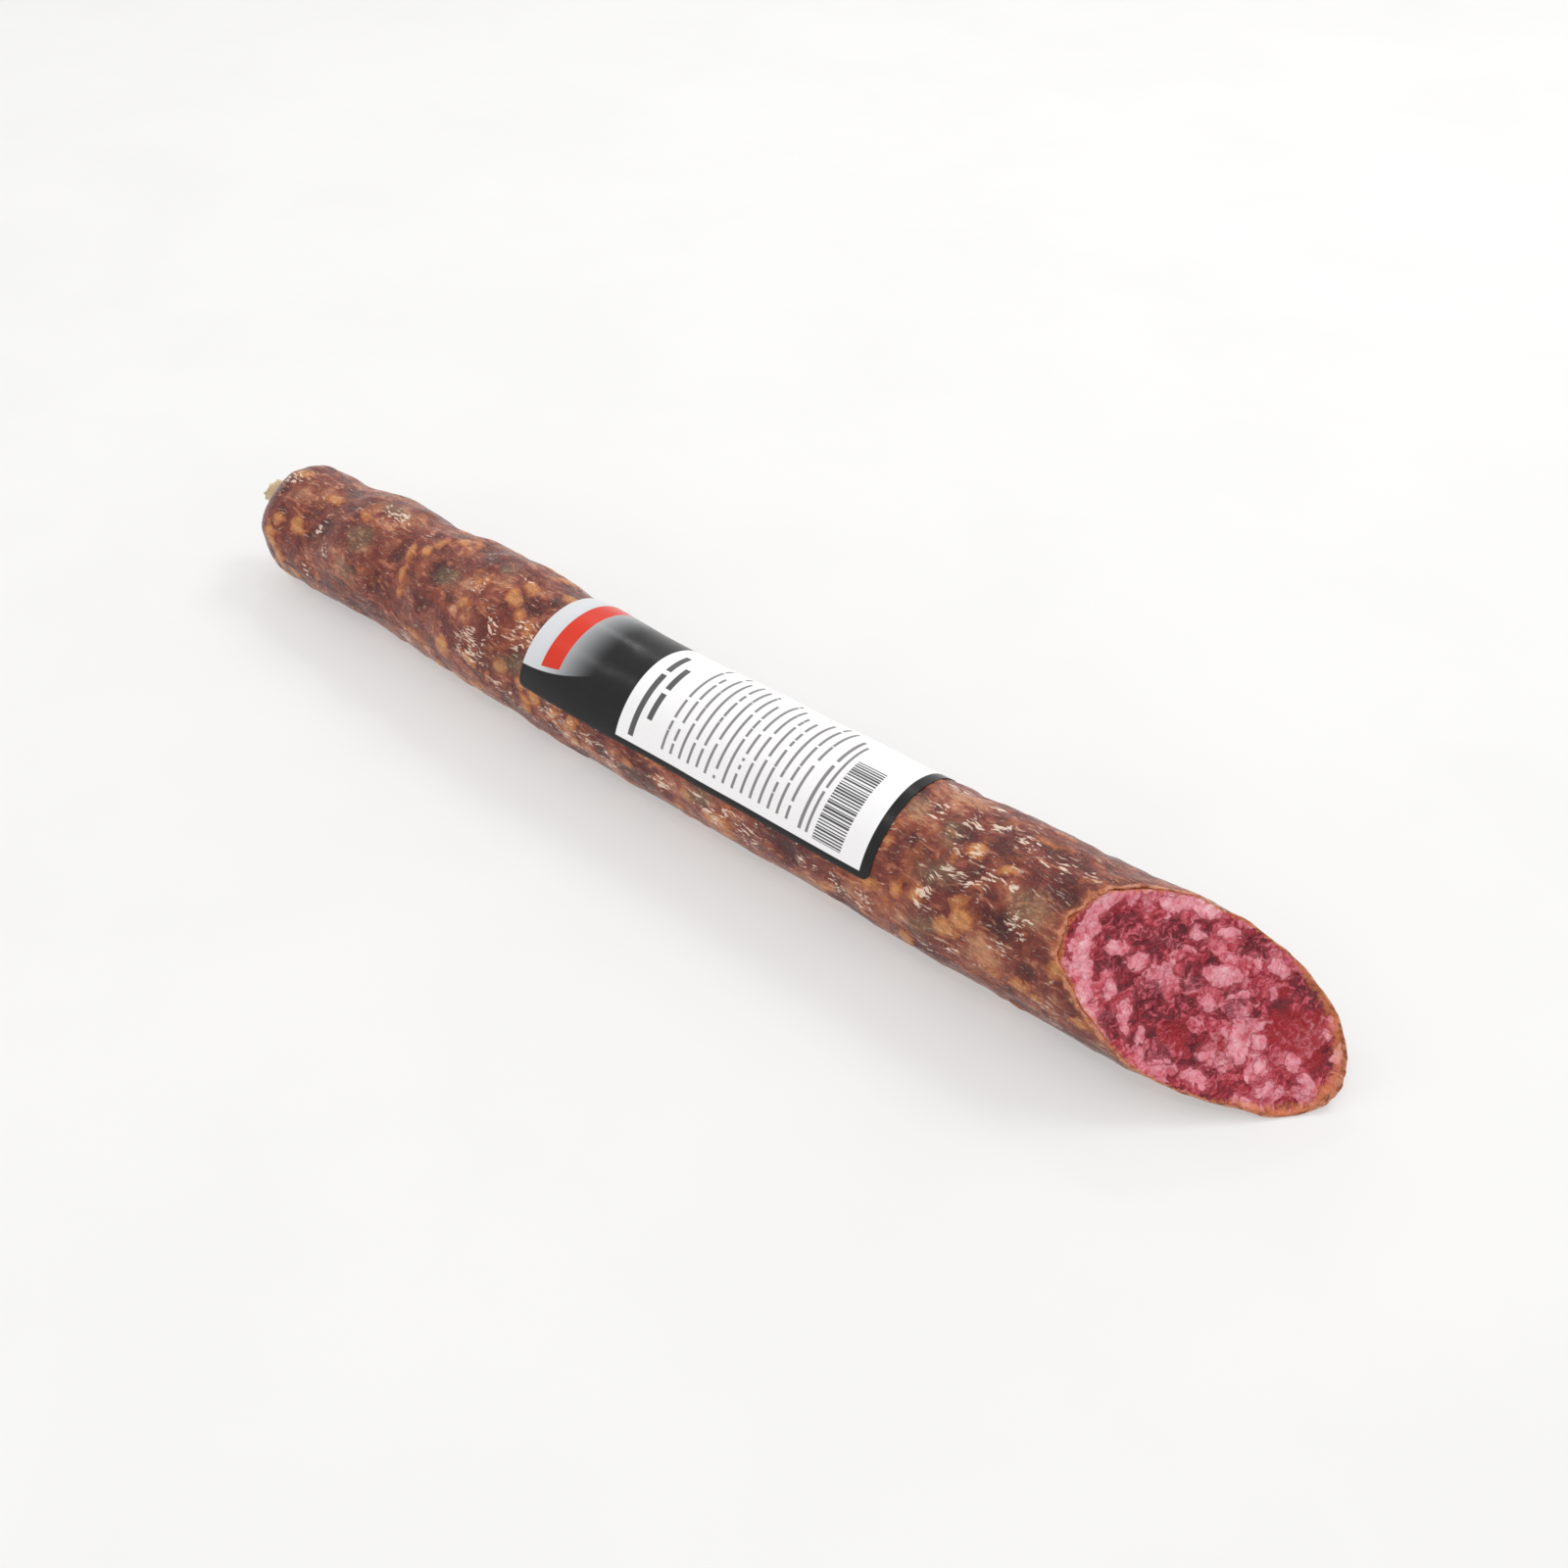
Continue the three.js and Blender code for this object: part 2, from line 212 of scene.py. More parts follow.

# %% [markdown]
# ## Lumps of fat, lean and bloom, with painted glints
#
# What makes this skin look real is uneven: soft orange lumps of fat just under it, dark lean
# meat between them, grey patches, and pale flecked bloom, whose flecks are also painted glints
# of light on the wrinkles. Each is an oval patch on the body, given by its place, its angle and
# its half-lengths. The patches that show most are listed one by one, and seeded random ones fill
# the rest, so the back and the underside are finished too. A patch's value is the distance
# inside its edge, in millimetres.

# %% Patches listed one by one: x, angle in degrees, half-length along, half-length around, turn
FAT_PATCHES = (
    (-142, 12, 3.4, 2.6, 10), (-150, 54, 3.0, 4.2, 20), (-160, 78, 2.6, 6.0, 10),
    (-157, 100, 2.4, 6.0, -10), (-161, 2, 4.6, 2.6, 20), (-125, 18, 2.6, 1.6, 0),
    (-102, 26, 1.8, 3.6, 20), (-101, 47, 1.6, 4.0, 10), (-100, 62, 1.6, 2.6, 0),
    (-78, 84, 3.6, 3.6, 0), (-74, 42, 3.2, 2.0, 30), (-60, 18, 2.6, 3.8, 60),
    (-59, 2, 2.4, 3.0, 50), (-73, 24, 1.8, 2.4, 30), (-54, 71, 2.8, 2.4, 0),
    (-96, 6, 1.8, 3.0, 0), (-50, 34, 1.6, 3.6, 20), (-92, 96, 3.8, 1.8, 0),
    (-44, 89, 3.0, 1.8, 0), (-6, 92, 1.8, 2.4, 10), (14, 92, 2.4, 2.4, 0),
    (22, 99, 3.4, 2.2, -20), (72, 78, 3.2, 2.0, 0), (95, 77, 3.8, 3.4, 0),
    (86, 17, 1.7, 1.3, 0), (96, 57, 3.0, 1.7, 30), (124, 64, 2.4, 4.2, -20),
    (120, 94, 2.2, 1.8, 0), (109, 93, 2.6, 1.5, 20), (80, 70, 2.0, 3.2, 0),
    (106, -11, 2.6, 1.3, 0), (103, 24, 2.6, 1.6, 20), (132, 97, 2.8, 1.6, 0),
)
LEAN_PATCHES = (
    (-163, 27, 3.6, 2.4, 20), (-158, 46, 2.7, 2.7, 0), (-138, 42, 4.6, 4.0, 0),
    (-106, 34, 3.0, 3.2, 0), (-88, 30, 5.0, 4.2, 20), (-54, 16, 4.0, 3.0, 0),
    (-80, 45, 3.6, 1.9, 0), (-143, 54, 3.3, 2.7, 0), (-132, 16, 2.6, 2.0, 0),
    (88, 14, 5.0, 3.2, 0), (106, 60, 2.8, 2.8, 0), (108, -7, 3.8, 2.1, 0),
    (117, 78, 2.6, 2.2, 0), (96, 35, 2.6, 1.8, 0), (1, 86, 3.4, 1.7, 0),
    (42, 86, 3.3, 2.2, 0), (118, 22, 5.0, 3.0, 0),
)
GREY_PATCHES = (
    (-121, 38, 5.0, 4.4, 10), (-84, 30, 4.2, 3.4, 0), (-118, -3, 7.0, 2.4, 0),
    (-124, 70, 4.4, 3.0, 0), (88, 47, 5.0, 3.0, 20), (112, 40, 5.0, 4.0, 0),
)
# Bloom patches: where pale mould flecks gather; the flecks are also painted glints of light.
BLOOM_AND_GLINT_PATCHES = (
    (-66, 72, 5.6, 5.0, 0), (-60, 47, 3.6, 2.4, 0), (-54, 92, 3.8, 2.4, 0),
    (-117, 0, 6.4, 3.0, 0), (-134, 62, 2.0, 2.6, 0), (-30, 87, 4.0, 2.4, 0),
    (6, 94, 3.6, 2.3, 0), (-14, 108, 3.0, 2.0, 0), (18, 91, 1.8, 3.4, 0),
    (28, 88, 2.4, 2.4, 0), (35, 92, 5.0, 3.4, 0), (54, 90, 2.6, 1.8, 0),
    (-20, 90, 3.8, 2.4, 0), (87, 64, 3.0, 4.0, 0), (80, 8, 3.2, 3.2, 0),
    (78, -28, 3.6, 2.6, 0), (90, -22, 3.6, 1.7, 0), (92, -2, 7.0, 2.0, 20),
    (103, 0, 4.0, 2.2, 0), (110, 5, 5.0, 1.8, 10), (120, 0, 3.6, 1.0, 10),
    (89, 46, 4.0, 2.0, 20), (95, 42, 3.0, 1.2, 0), (104, 33, 3.6, 1.2, 10),
    (109, 73, 2.8, 1.5, 0), (124, 98, 4.0, 1.6, 0), (100, 92, 3.6, 1.2, 0),
    (90, 103, 2.6, 1.4, 0), (112, 51, 4.0, 3.0, 0),
)
FAR_OUTSIDE = -4.0


def random_patches(seed, count, smallest, largest):
    """Seeded patches over the whole length and all round, thinned on the front, where the listed
    patches are.
    """
    rng = np.random.default_rng(seed)
    rows = []
    for _ in range(count):
        x = rng.uniform(-170, 184)
        angle = rng.uniform(-180, 180)
        size = rng.uniform(smallest, largest)
        stretch = rng.uniform(0.6, 1.7)
        turn = rng.uniform(-40, 40)
        seen = -25 < angle < 105 and (x < -46 or x > 72)
        if not seen or rng.random() < 0.35:
            rows.append((x, angle, size * stretch, size / stretch, turn))
    return rows


def inside_oval(ahead, aside, half_length, half_width, turn):
    """Depth (1 - d) * b inside an oval turned by `turn` degrees, where d is the distance from
    its middle in shares of its outline and b is its shorter half-length."""
    sine, cosine = math.sin(math.radians(turn)), math.cos(math.radians(turn))
    major = (ahead * cosine + aside * sine) / half_length
    minor = (aside * cosine - ahead * sine) / half_width
    return (1 - np.hypot(major, minor)) * min(half_length, half_width)


def patch_depth(x, angle, patches):
    """Depth inside the nearest patch's edge, and no less than FAR_OUTSIDE beyond them all."""
    depth = np.full(x.shape, FAR_OUTSIDE)
    for place, degrees, along, around, turn in patches:
        off_angle = (angle - math.radians(degrees) + np.pi) % (2 * np.pi) - np.pi
        inside = inside_oval(x - place, off_angle * MEAN_RADIUS, along, around, -turn)
        depth = np.maximum(depth, inside)
    return depth


fat_patches = list(FAT_PATCHES) + random_patches(11, 260, 1.4, 3.4)
lean_patches = list(LEAN_PATCHES) + random_patches(12, 170, 2.0, 4.5)
grey_patches = list(GREY_PATCHES) + random_patches(13, 60, 2.5, 5.0)
bloom_and_glint_patches = list(BLOOM_AND_GLINT_PATCHES) + random_patches(14, 120, 1.6, 4.5)
print("patches", len(fat_patches), len(lean_patches), len(grey_patches), len(bloom_and_glint_patches))

# %% [markdown]
# ## Relief of the skin
#
# A dried skin sinks where lean meat has shrunk and stands proud over fat, and it is drawn into
# shallow wrinkles that run along the body. All of that is real shape, so it is part of the
# surface. Finer wrinkling is left to the material. The relief is shifted inwards so that its
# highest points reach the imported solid's surface and no further.

# %% Relief
FAT_RISE, LEAN_SINK, LUMP_HEIGHT, FOLD_HEIGHT = 0.36, 0.45, 0.34, 0.20
LUMP_SIZE, LUMP_SEED = 11, 21
CUT_SEARCH_STEPS, CUT_RING_STEPS = 14, 6


def wrinkles(points, seed):
    """Folds that run along x: 1 - |noise| of noise stretched four times along the body."""
    drift = layered_noise(points, 26, seed + 5, 2)[..., None]
    stretched = (points + 5 * drift * np.array([0, 1, 1])) * np.array([0.25, 1, 1])
    return 1 - 2 * np.abs(layered_noise(stretched, 4.2, seed, 2))


def relief(x, angle, points):
    """Height of the real skin over the smooth body, in millimetres."""
    fat = ease(-0.8, 1.8, patch_depth(x, angle, fat_patches))
    lean = ease(-1.5, 2.0, patch_depth(x, angle, lean_patches))
    lumps = layered_noise(points, LUMP_SIZE, LUMP_SEED, 2)
    folds = wrinkles(points, 40)
    height = FAT_RISE * fat - LEAN_SINK * lean + LUMP_HEIGHT * lumps + FOLD_HEIGHT * folds
    return height * (1 - 0.75 * label_cover(x, angle)) - RELIEF_DEPTH


def label_cover(x, angle):
    """1 where the label is stuck and 0 a few millimetres outside its outline."""
    degrees = np.degrees(angle)
    along = ease(LABEL_START_X - 4, LABEL_START_X, x) * ease(-LABEL_END_X - 4, -LABEL_END_X, -x)
    return along * ease(-76, -65, degrees) * ease(-89, -78, -degrees)


def body_surface(x, angle, inset=0.0):
    """The smooth body moved by its relief along its radius, and rested flat on the base."""
    height = relief(x, angle, smooth_body(x, angle))
    return rested_point(x, angle, girth(x) + swelling(x, angle) + height - inset, inset)


def cut_plane_x(point):
    """x of the slanting cut above a point: it slopes with the height and from front to back."""
    return CUT_X + CUT_SLOPE_UP * (point[..., 2] - CUT_HEIGHT) + CUT_SLOPE_BACK * point[..., 1]


def cut_place(angle, inset):
    """x where the slanting cut meets the surface, found by stepping towards the plane."""
    x = np.full(angle.shape, float(CUT_X))
    for _ in range(CUT_SEARCH_STEPS):
        x = cut_plane_x(smooth_body(x, angle, inset + RELIEF_DEPTH))
    return x


# %% [markdown]
# ## Turning grids into meshes
#
# Every piece is a grid of rows of points. One function joins the rows with four-sided faces,
# closes each row into a ring where asked, and closes the ends with a fan to a middle point.
# Values that the materials read, such as the depth of fat, are stored on the points.

# %% Mesh builders
def add_mesh(name, points, faces, values=None):
    """A mesh object at the origin from points in millimetres, with named values on its points."""
    mesh = bpy.data.meshes.new(name)
    mesh.from_pydata((np.asarray(points) * MM).tolist(), [], faces)
    mesh.update()
    for label, numbers in (values or {}).items():
        layer = mesh.attributes.new(label, "FLOAT", "POINT")
        layer.data.foreach_set("value", np.asarray(numbers, np.float32).ravel())
    mesh.polygons.foreach_set("use_smooth", np.ones(len(mesh.polygons), bool))
    piece = bpy.data.objects.new(name, mesh)
    bpy.context.scene.collection.objects.link(piece)
    return piece


def ring_faces(rows, around):
    """Faces between neighbouring rings, with ring points numbered row by row."""
    row, step = np.meshgrid(np.arange(rows - 1), np.arange(around), indexing="ij")
    here = row * around + step
    beside = row * around + (step + 1) % around
    return np.stack([here, beside, beside + around, here + around], axis=-1).reshape(-1, 4).tolist()


def fan_faces(ring_start, around, middle, flip):
    """Three-sided faces from a ring to one middle point."""
    step = np.arange(around)
    here, beside = ring_start + step, ring_start + (step + 1) % around
    corners = [beside, here] if flip else [here, beside]
    return np.stack([*corners, np.full(around, middle)], axis=-1).tolist()


def closed_stack(first_middle, rings, last_middle):
    """Points and faces of a stack of rings that is closed by a fan at each end."""
    rows, around = rings.shape[:2]
    points = np.concatenate([rings.reshape(-1, 3), first_middle[None], last_middle[None]])
    count = rows * around
    faces = ring_faces(rows, around)
    faces += fan_faces(0, around, count, True)
    faces += fan_faces(count - around, around, count + 1, False)
    return points, faces


# %% [markdown]
# ## The casing
#
# The casing is one sheet of gut: from the pleated tail, over the blunt end, along the body to
# the cut, round its cut edge and back along the inside. So one stack of rings makes it, with
# a fine outside, where it shows, and a coarser inside. At the upper front of the cut the edge
# is torn into a thin pale fringe, which is made by letting the last rings stray.

# %% Rings of the casing
AROUND = 176
OUTER_RINGS, SLANT_RINGS, END_RINGS = 300, 96, 36
SLANT_START_X = 96
EDGE_THICKNESS = 0.45
INNER_INSET = 1.1
INNER_BODY_RINGS, INNER_SLANT_RINGS, INNER_END_RINGS = 34, 14, 8
SMALLEST_SHARE = 0.12

angles = -np.pi + 2 * np.pi * np.arange(AROUND) / AROUND


def cut_edge_stray(angle):
    """How ragged the cut edge is: most at the upper front, where the skin tore."""
    torn = ease(-30, 10, np.degrees(angle)) * ease(-110, -60, -np.degrees(angle))
    circle = np.stack([np.cos(angle), np.sin(angle), 0 * angle], axis=-1) * MEAN_RADIUS
    return torn, layered_noise(circle, 1.7, 77, 3), layered_noise(circle, 5, 78, 2)


def outer_body_rings():
    """x and angle of the outside rings: upright along the body, then leaning into the cut."""
    upright = np.linspace(END_START_X, SLANT_START_X, OUTER_RINGS)[:, None] + 0 * angles
    share = np.linspace(0, 1, SLANT_RINGS + 1)[1:, None] ** 0.9
    torn, fine, broad = cut_edge_stray(angles)
    end = cut_place(angles, 0) + (0.25 + 0.75 * torn) * fine + 0.5 * torn * broad
    slanting = SLANT_START_X + share * (end - SLANT_START_X)
    x = np.concatenate([upright, slanting])
    return x, np.broadcast_to(angles, x.shape)


def end_rings(around, count, inset, smallest):
    """Rings of the blunt end at the angles `around`, smallest first. A ring at share s of the
    full width reaches (1 - s^n)^(1/n) of the end's depth, and its lumps fade as it shrinks."""
    steepest = math.acos(smallest ** (END_BLUNTNESS / 2))
    turn = steepest * np.arange(count, 0, -1) / count
    share = (np.cos(turn) ** (2 / END_BLUNTNESS))[:, None]
    reach = (1 - share**END_BLUNTNESS) ** (1 / END_BLUNTNESS)
    x = np.full(share.shape, float(END_START_X)) + 0 * around
    edge = body_surface(x, around + 0 * x, inset)
    pole = end_pole(inset)
    rings = pole + (edge - pole) * share[..., None]
    rings[..., 0] = END_START_X + (pole[0] - END_START_X) * reach
    return rings, share + 0 * around


def end_pole(inset):
    """Where the blunt end comes to its gather."""
    sideways, height = spine(np.array(float(END_START_X)))
    return np.array([END_START_X - END_DEPTH + inset, sideways, height + GATHER_RISE])


# %% [markdown]
# The blunt end has lumps of its own: the gut is drawn into folds that run to the gather, and
# noise makes low lumps on it. These move the end's rings after they are laid out.

# %% Lumps and folds of the end, and the tail
TAIL_TILT = math.radians(25)
TAIL_ALONG = np.array([-math.cos(TAIL_TILT), 0, math.sin(TAIL_TILT)])
TAIL_UP = np.array([math.sin(TAIL_TILT), 0, math.cos(TAIL_TILT)])
TAIL_SIDE = np.array([0, -1, 0])
TAIL_PROFILE = ((0.8, 3.0), (1.9, 2.2), (6.2, 2.2), (6.7, 2.9), (7.4, 3.7), (8.1, 4.1), (8.7, 3.6))
TAIL_RINGS, TAIL_CLOSED_AT = 34, 7.6
PLEATS, PLEAT_DEPTH, FRAYING = 8, 0.07, 0.13
NECK_WIDENING = 1.25


def shape_end(rings, share):
    """Radial folds cos(8a) that deepen towards the gather, and noise lumps, along -X."""
    gather = ease(-0.75, -0.25, -share)
    folds = np.cos(PLEATS * angles + 2.5 * share) * gather * 0.5
    lumps = layered_noise(rings, 9, 60, 2) * (1 - share) * 1.1
    moved = rings.copy()
    moved[..., 0] += (folds + lumps - 0.2) * ease(0, 0.25, 1 - share)
    return moved


def tail_rings():
    """Pleated rings along the tilted tail: r(d) * (1 + p cos 8a), with a ragged free end."""
    stations, radii = np.array(TAIL_PROFILE).T
    distance = np.linspace(stations[-1], stations[0], TAIL_RINGS)[:, None]
    flare = ease(6.2, 8.6, distance)
    pleat = 1 + PLEAT_DEPTH * np.cos(PLEATS * angles + 0.25 * distance)
    strand_place = np.stack(np.broadcast_arrays(
        3 * np.cos(angles), 3 * np.sin(angles), 0.3 * distance), axis=-1)
    pleat = pleat + flare * FRAYING * layered_noise(strand_place, 1.6, 95, 3)
    radius = np.interp(distance, stations, radii) * pleat
    circle = np.stack([np.cos(angles) * 4, np.sin(angles) * 4, 0 * angles], axis=-1)
    loose = ease(7.0, 8.8, distance)
    ragged = layered_noise(circle, 1.3, 90, 2) * loose * 0.5
    along = distance + ragged - 0.5 * loose
    pole = end_pole(0)
    rings = pole + along[..., None] * TAIL_ALONG
    rings = rings + (radius * np.cos(angles))[..., None] * TAIL_UP
    rings = rings + (radius * np.sin(angles))[..., None] * TAIL_SIDE
    return rings, pole + TAIL_CLOSED_AT * TAIL_ALONG


# %% Put the casing together
def skin_tags(x, angle, edge, tail):
    """What the casing's material reads at each point."""
    return {
        "fat": patch_depth(x, angle, fat_patches),
        "lean": patch_depth(x, angle, lean_patches),
        "grey": patch_depth(x, angle, grey_patches),
        "bloom": patch_depth(x, angle, bloom_and_glint_patches),
        "edge": edge,
        "tail": tail,
    }


def outside_skin():
    """The outside rings with their x, and the outward direction at the last one. Near the
    upper front of the cut they are lifted into a fringe."""
    body_x, body_angle = outer_body_rings()
    outside = body_surface(body_x, body_angle)
    torn, fine, _ = cut_edge_stray(angles)
    to_edge = ease(-2.2, 0, -(outside[-1][None, :, 0] - body_x))
    outward = outside.copy()
    outward[..., 0] = 0
    middle_y, middle_z = spine(body_x)
    outward[..., 1] -= middle_y
    outward[..., 2] -= middle_z
    outward /= np.linalg.norm(outward, axis=-1, keepdims=True)
    lift = to_edge * torn * (0.35 + 0.55 * np.maximum(fine, 0))
    return outside + outward * lift[..., None], outward[-1], body_x


def inside_skin(edge, outward):
    """Rings from the cut edge back along the inside: thin at the edge, thicker behind it."""
    share = np.linspace(1, 0, INNER_SLANT_RINGS + 1)[:-1, None]
    near_edge = ease(0.86, 1, share)
    inset = EDGE_THICKNESS * near_edge + INNER_INSET * (1 - near_edge)
    slant_x = SLANT_START_X + share * (edge[:, 0] - SLANT_START_X)
    slanting = body_surface(slant_x, angles + 0 * slant_x, inset)
    slanting[0] = edge - outward * EDGE_THICKNESS
    x = np.linspace(SLANT_START_X, END_START_X, INNER_BODY_RINGS)[:, None] + 0 * angles
    upright = body_surface(x, angles + 0 * x, INNER_INSET)
    end = end_rings(angles, INNER_END_RINGS, INNER_INSET, SMALLEST_SHARE)[0][::-1]
    return np.concatenate([slanting, upright, end])


def build_casing():
    """Tail, end, outside, cut edge and inside, as one closed stack of rings."""
    tail, tail_pole = tail_rings()
    neck_share = TAIL_PROFILE[0][1] * NECK_WIDENING / GIRTH_STATIONS[0][1]
    end, end_share = end_rings(angles, END_RINGS, 0, neck_share)
    end = shape_end(end, end_share)
    outside, outward, body_x = outside_skin()
    rings = np.concatenate([tail, end, outside, inside_skin(outside[-1], outward)])
    points, faces = closed_stack(tail_pole, rings, end_pole(INNER_INSET))

    x = rings[..., 0].copy()
    first = len(tail) + len(end)
    last = first + len(outside)
    edge, tail_share = np.zeros(x.shape), np.zeros(x.shape)
    edge[first:last] = ease(-4, 0, -(outside[-1][:, 0] - body_x))
    edge[last:] = 1
    tail_share[:len(tail)] = 1
    tail_share[len(tail):first] = ease(-0.42, -0.17, -end_share)
    values = skin_tags(x, np.broadcast_to(angles, x.shape), edge, tail_share)
    values = {name: np.append(tag.ravel(), [tag[0, 0], tag[-1, 0]]) for name, tag in values.items()}
    return add_mesh("gut_casing", points, faces, values)


casing = build_casing()
print("casing faces", len(casing.data.polygons))

# %% [markdown]
# ## The meat and its cut face
#
# The cut face is the part that is looked at most. It is a slanting slice, so it is a long
# oval. It is laid out as a polar grid: rings that shrink from the rim to the middle. The same
# grid carries on over the rim as the side wall, so the meat is one closed solid. Each point
# knows its place on the face, `along` towards the low tip and `across` towards the back.

# %% Axes of the cut face
FACE_NORMAL = np.array([1, -CUT_SLOPE_BACK, -CUT_SLOPE_UP])
FACE_NORMAL = FACE_NORMAL / np.linalg.norm(FACE_NORMAL)
FACE_ACROSS = np.cross(FACE_NORMAL, [1, 0, 0])
FACE_ACROSS = FACE_ACROSS / np.linalg.norm(FACE_ACROSS)
FACE_ALONG = np.cross(FACE_ACROSS, FACE_NORMAL)
print("face normal", FACE_NORMAL.round(3), "along", FACE_ALONG.round(3), "across", FACE_ACROSS.round(3))

# %% [markdown]
# The mosaic on the face is meat and fat that went through a coarse mincer. Big pieces of fat
# follow the rim on the upper side and one white block sits right of the middle, with dark lean
# between them. Those are listed one by one, in millimetres from the middle of the face, and
# seeded small pieces fill in. Warping the places with noise first makes ovals into torn meat.

# %% Pieces on the face: along, across, half-length, half-width, turn
FACE_FAT = (
    (11, -2.5, 2.7, 5.0, 32), (-10, 18, 3.2, 2.6, 32), (-14.7, 16.6, 3.2, 1.7, 20),
    (-18.4, 13.9, 3.2, 1.8, 10), (-30.8, 8.1, 3.4, 2.2, 60), (-31, 2.7, 2.2, 3.0, 32),
    (-30.3, -2.8, 2.4, 3.2, 32), (-27.5, -7.1, 2.3, 3.6, 32), (-25.3, -13, 2.6, 3.0, 32),
    (-21, -16.2, 2.6, 3.2, 40), (-20, -8.6, 1.8, 2.4, 32), (-14.1, -12, 1.5, 3.6, 32),
    (-12.2, -1.7, 3.0, 1.0, 60), (0.5, 7.4, 4.6, 3.0, 32), (-9, 12.7, 1.8, 1.6, 32),
    (-3.1, 15.9, 2.6, 1.3, 10), (0.4, 0.1, 2.2, 1.6, 32), (11.8, 9.9, 1.2, 2.2, 32),
    (19.2, -5.9, 1.8, 2.6, 32), (22.9, -9.5, 1.6, 2.6, 32), (29.8, -4.3, 2.0, 3.0, 32),
    (15, -0.4, 1.5, 2.0, 32), (11, 15.7, 2.8, 1.6, 0), (-8.7, -13.4, 1.3, 2.2, 32),
    (5.9, -14.7, 3.2, 1.3, 10), (7, -9.7, 2.2, 1.3, 20), (-23.1, 0.4, 2.4, 1.6, 32),
    (-18.3, 0.4, 3.0, 2.0, 32), (21.4, -13.6, 2.4, 1.2, 0), (25.2, -0.7, 1.6, 2.2, 32),
    (-24.8, 15, 3.4, 1.3, 30), (-28.1, -10.4, 1.7, 2.0, 32), (-26.5, 11.5, 2.8, 1.8, 40),
    (-31.8, 0, 5.5, 1.6, 88), (-29, -7, 5.0, 1.8, 112), (-29.8, 8, 4.5, 1.6, 55),
)
FACE_DARK = (
    (-26.2, 4.5, 3.6, 2.4, 32), (-13.4, 9.1, 4.6, 3.4, 32), (-22.5, -3.4, 1.8, 2.4, 32),
    (-9.6, -7, 3.2, 4.2, 32), (-16.1, -14.9, 2.2, 2.8, 32), (-5.5, 2.9, 2.6, 3.2, 32),
    (17.1, 14.8, 4.6, 3.0, 0), (-2.5, -14.8, 2.6, 3.0, 32), (4.3, 15.8, 4.0, 1.8, 10),
    (10.1, -11.9, 3.0, 1.5, 20), (-4, -3, 2.0, 3.0, 32), (5, 4, 2.0, 3.0, 32),
    (-14, -5, 2.0, 3.4, 20), (-19, 6, 3.0, 2.2, 32),
)
FACE_CRIMSON = (
    (22.7, 5.6, 7.4, 5.4, 20), (-2.2, -9.5, 3.2, 2.6, 32), (8, -6.3, 1.4, 3.2, 32),
    (28, 3, 3.0, 3.0, 0), (17, 4, 3.0, 3.4, 0), (14, 12, 3.0, 2.2, 0),
)


def scattered(seed, count, smallest, largest):
    """Seeded small pieces over the face, none of them in a line."""
    rng = np.random.default_rng(seed)
    along, across = rng.uniform(-35, 35, count), rng.uniform(-21, 21, count)
    size, stretch = rng.uniform(smallest, largest, count), rng.uniform(0.5, 2.0, count)
    turn = rng.uniform(-20, 90, count)
    return list(zip(along, across, size * stretch, size / stretch, turn))


def face_depth(along, across, pieces):
    """Depth inside the nearest piece's edge, as on the skin, for the flat face."""
    depth = np.full(along.shape, FAR_OUTSIDE)
    for middle, aside, half_length, half_width, turn in pieces:
        inside = inside_oval(along - middle, across - aside, half_length, half_width, turn)
        depth = np.maximum(depth, inside)
    return depth


face_fat = list(FACE_FAT) + scattered(31, 12, 0.8, 1.6)
face_dark = list(FACE_DARK) + scattered(32, 34, 0.7, 1.6)
print("pieces on the face", len(face_fat), len(face_dark), len(FACE_CRIMSON))

# %% The face grid and the side wall
FACE_AROUND, FACE_RINGS = 400, 108
FACE_SINK = 0.6
RIM_INSET, WALL_INSET = 0.40, 1.6
FAT_STANDS, LEAN_SINKS, GRAIN_HEIGHT, SWAY_HEIGHT = 0.26, 0.32, 0.34, 0.5
WALL_DEPTH, WALL_LEAN_END, WALL_BACK_START = 7, 90, 84

face_angles = -np.pi + 2 * np.pi * np.arange(FACE_AROUND) / FACE_AROUND


def cut_ring(angle, inset):
    """Where the real skin's surface, moved in by inset, meets the plane of the cut."""
    x = cut_place(angle, inset)
    for _ in range(CUT_RING_STEPS):
        x = cut_plane_x(body_surface(x, angle, inset))
    return body_surface(x, angle, inset), x


def face_rings():
    """Rings between the middle and the rim, with their places and distances to the rim."""
    rim, rim_x = cut_ring(face_angles, RIM_INSET)
    middle = rim.mean(axis=0)
    share = np.linspace(0, 1, FACE_RINGS + 1)[:0:-1] ** 0.85
    rings = middle + (rim - middle) * share[:, None, None]
    along, across = (rings - middle) @ FACE_ALONG, (rings - middle) @ FACE_ACROSS
    flat = np.stack([along, across], axis=-1)
    rim_flat = flat[0, ::4]
    distance = np.full(along.shape, 99.0)
    for start in range(0, FACE_RINGS, 12):
        block = flat[start:start + 12, :, None] - rim_flat
        distance[start:start + 12] = np.sqrt((block**2).sum(-1)).min(-1)
    return rings, along, across, np.maximum(distance - 0.1, 0), middle, rim_x


def torn(along, across, seed, size, amount):
    """Places moved by noise, so that outlines become ragged."""
    spots = np.stack([along, across, 0 * along], axis=-1)
    away = layered_noise(spots, size, seed, 3), layered_noise(spots, size, seed + 9, 3)
    return along + amount * away[0], across + amount * away[1]


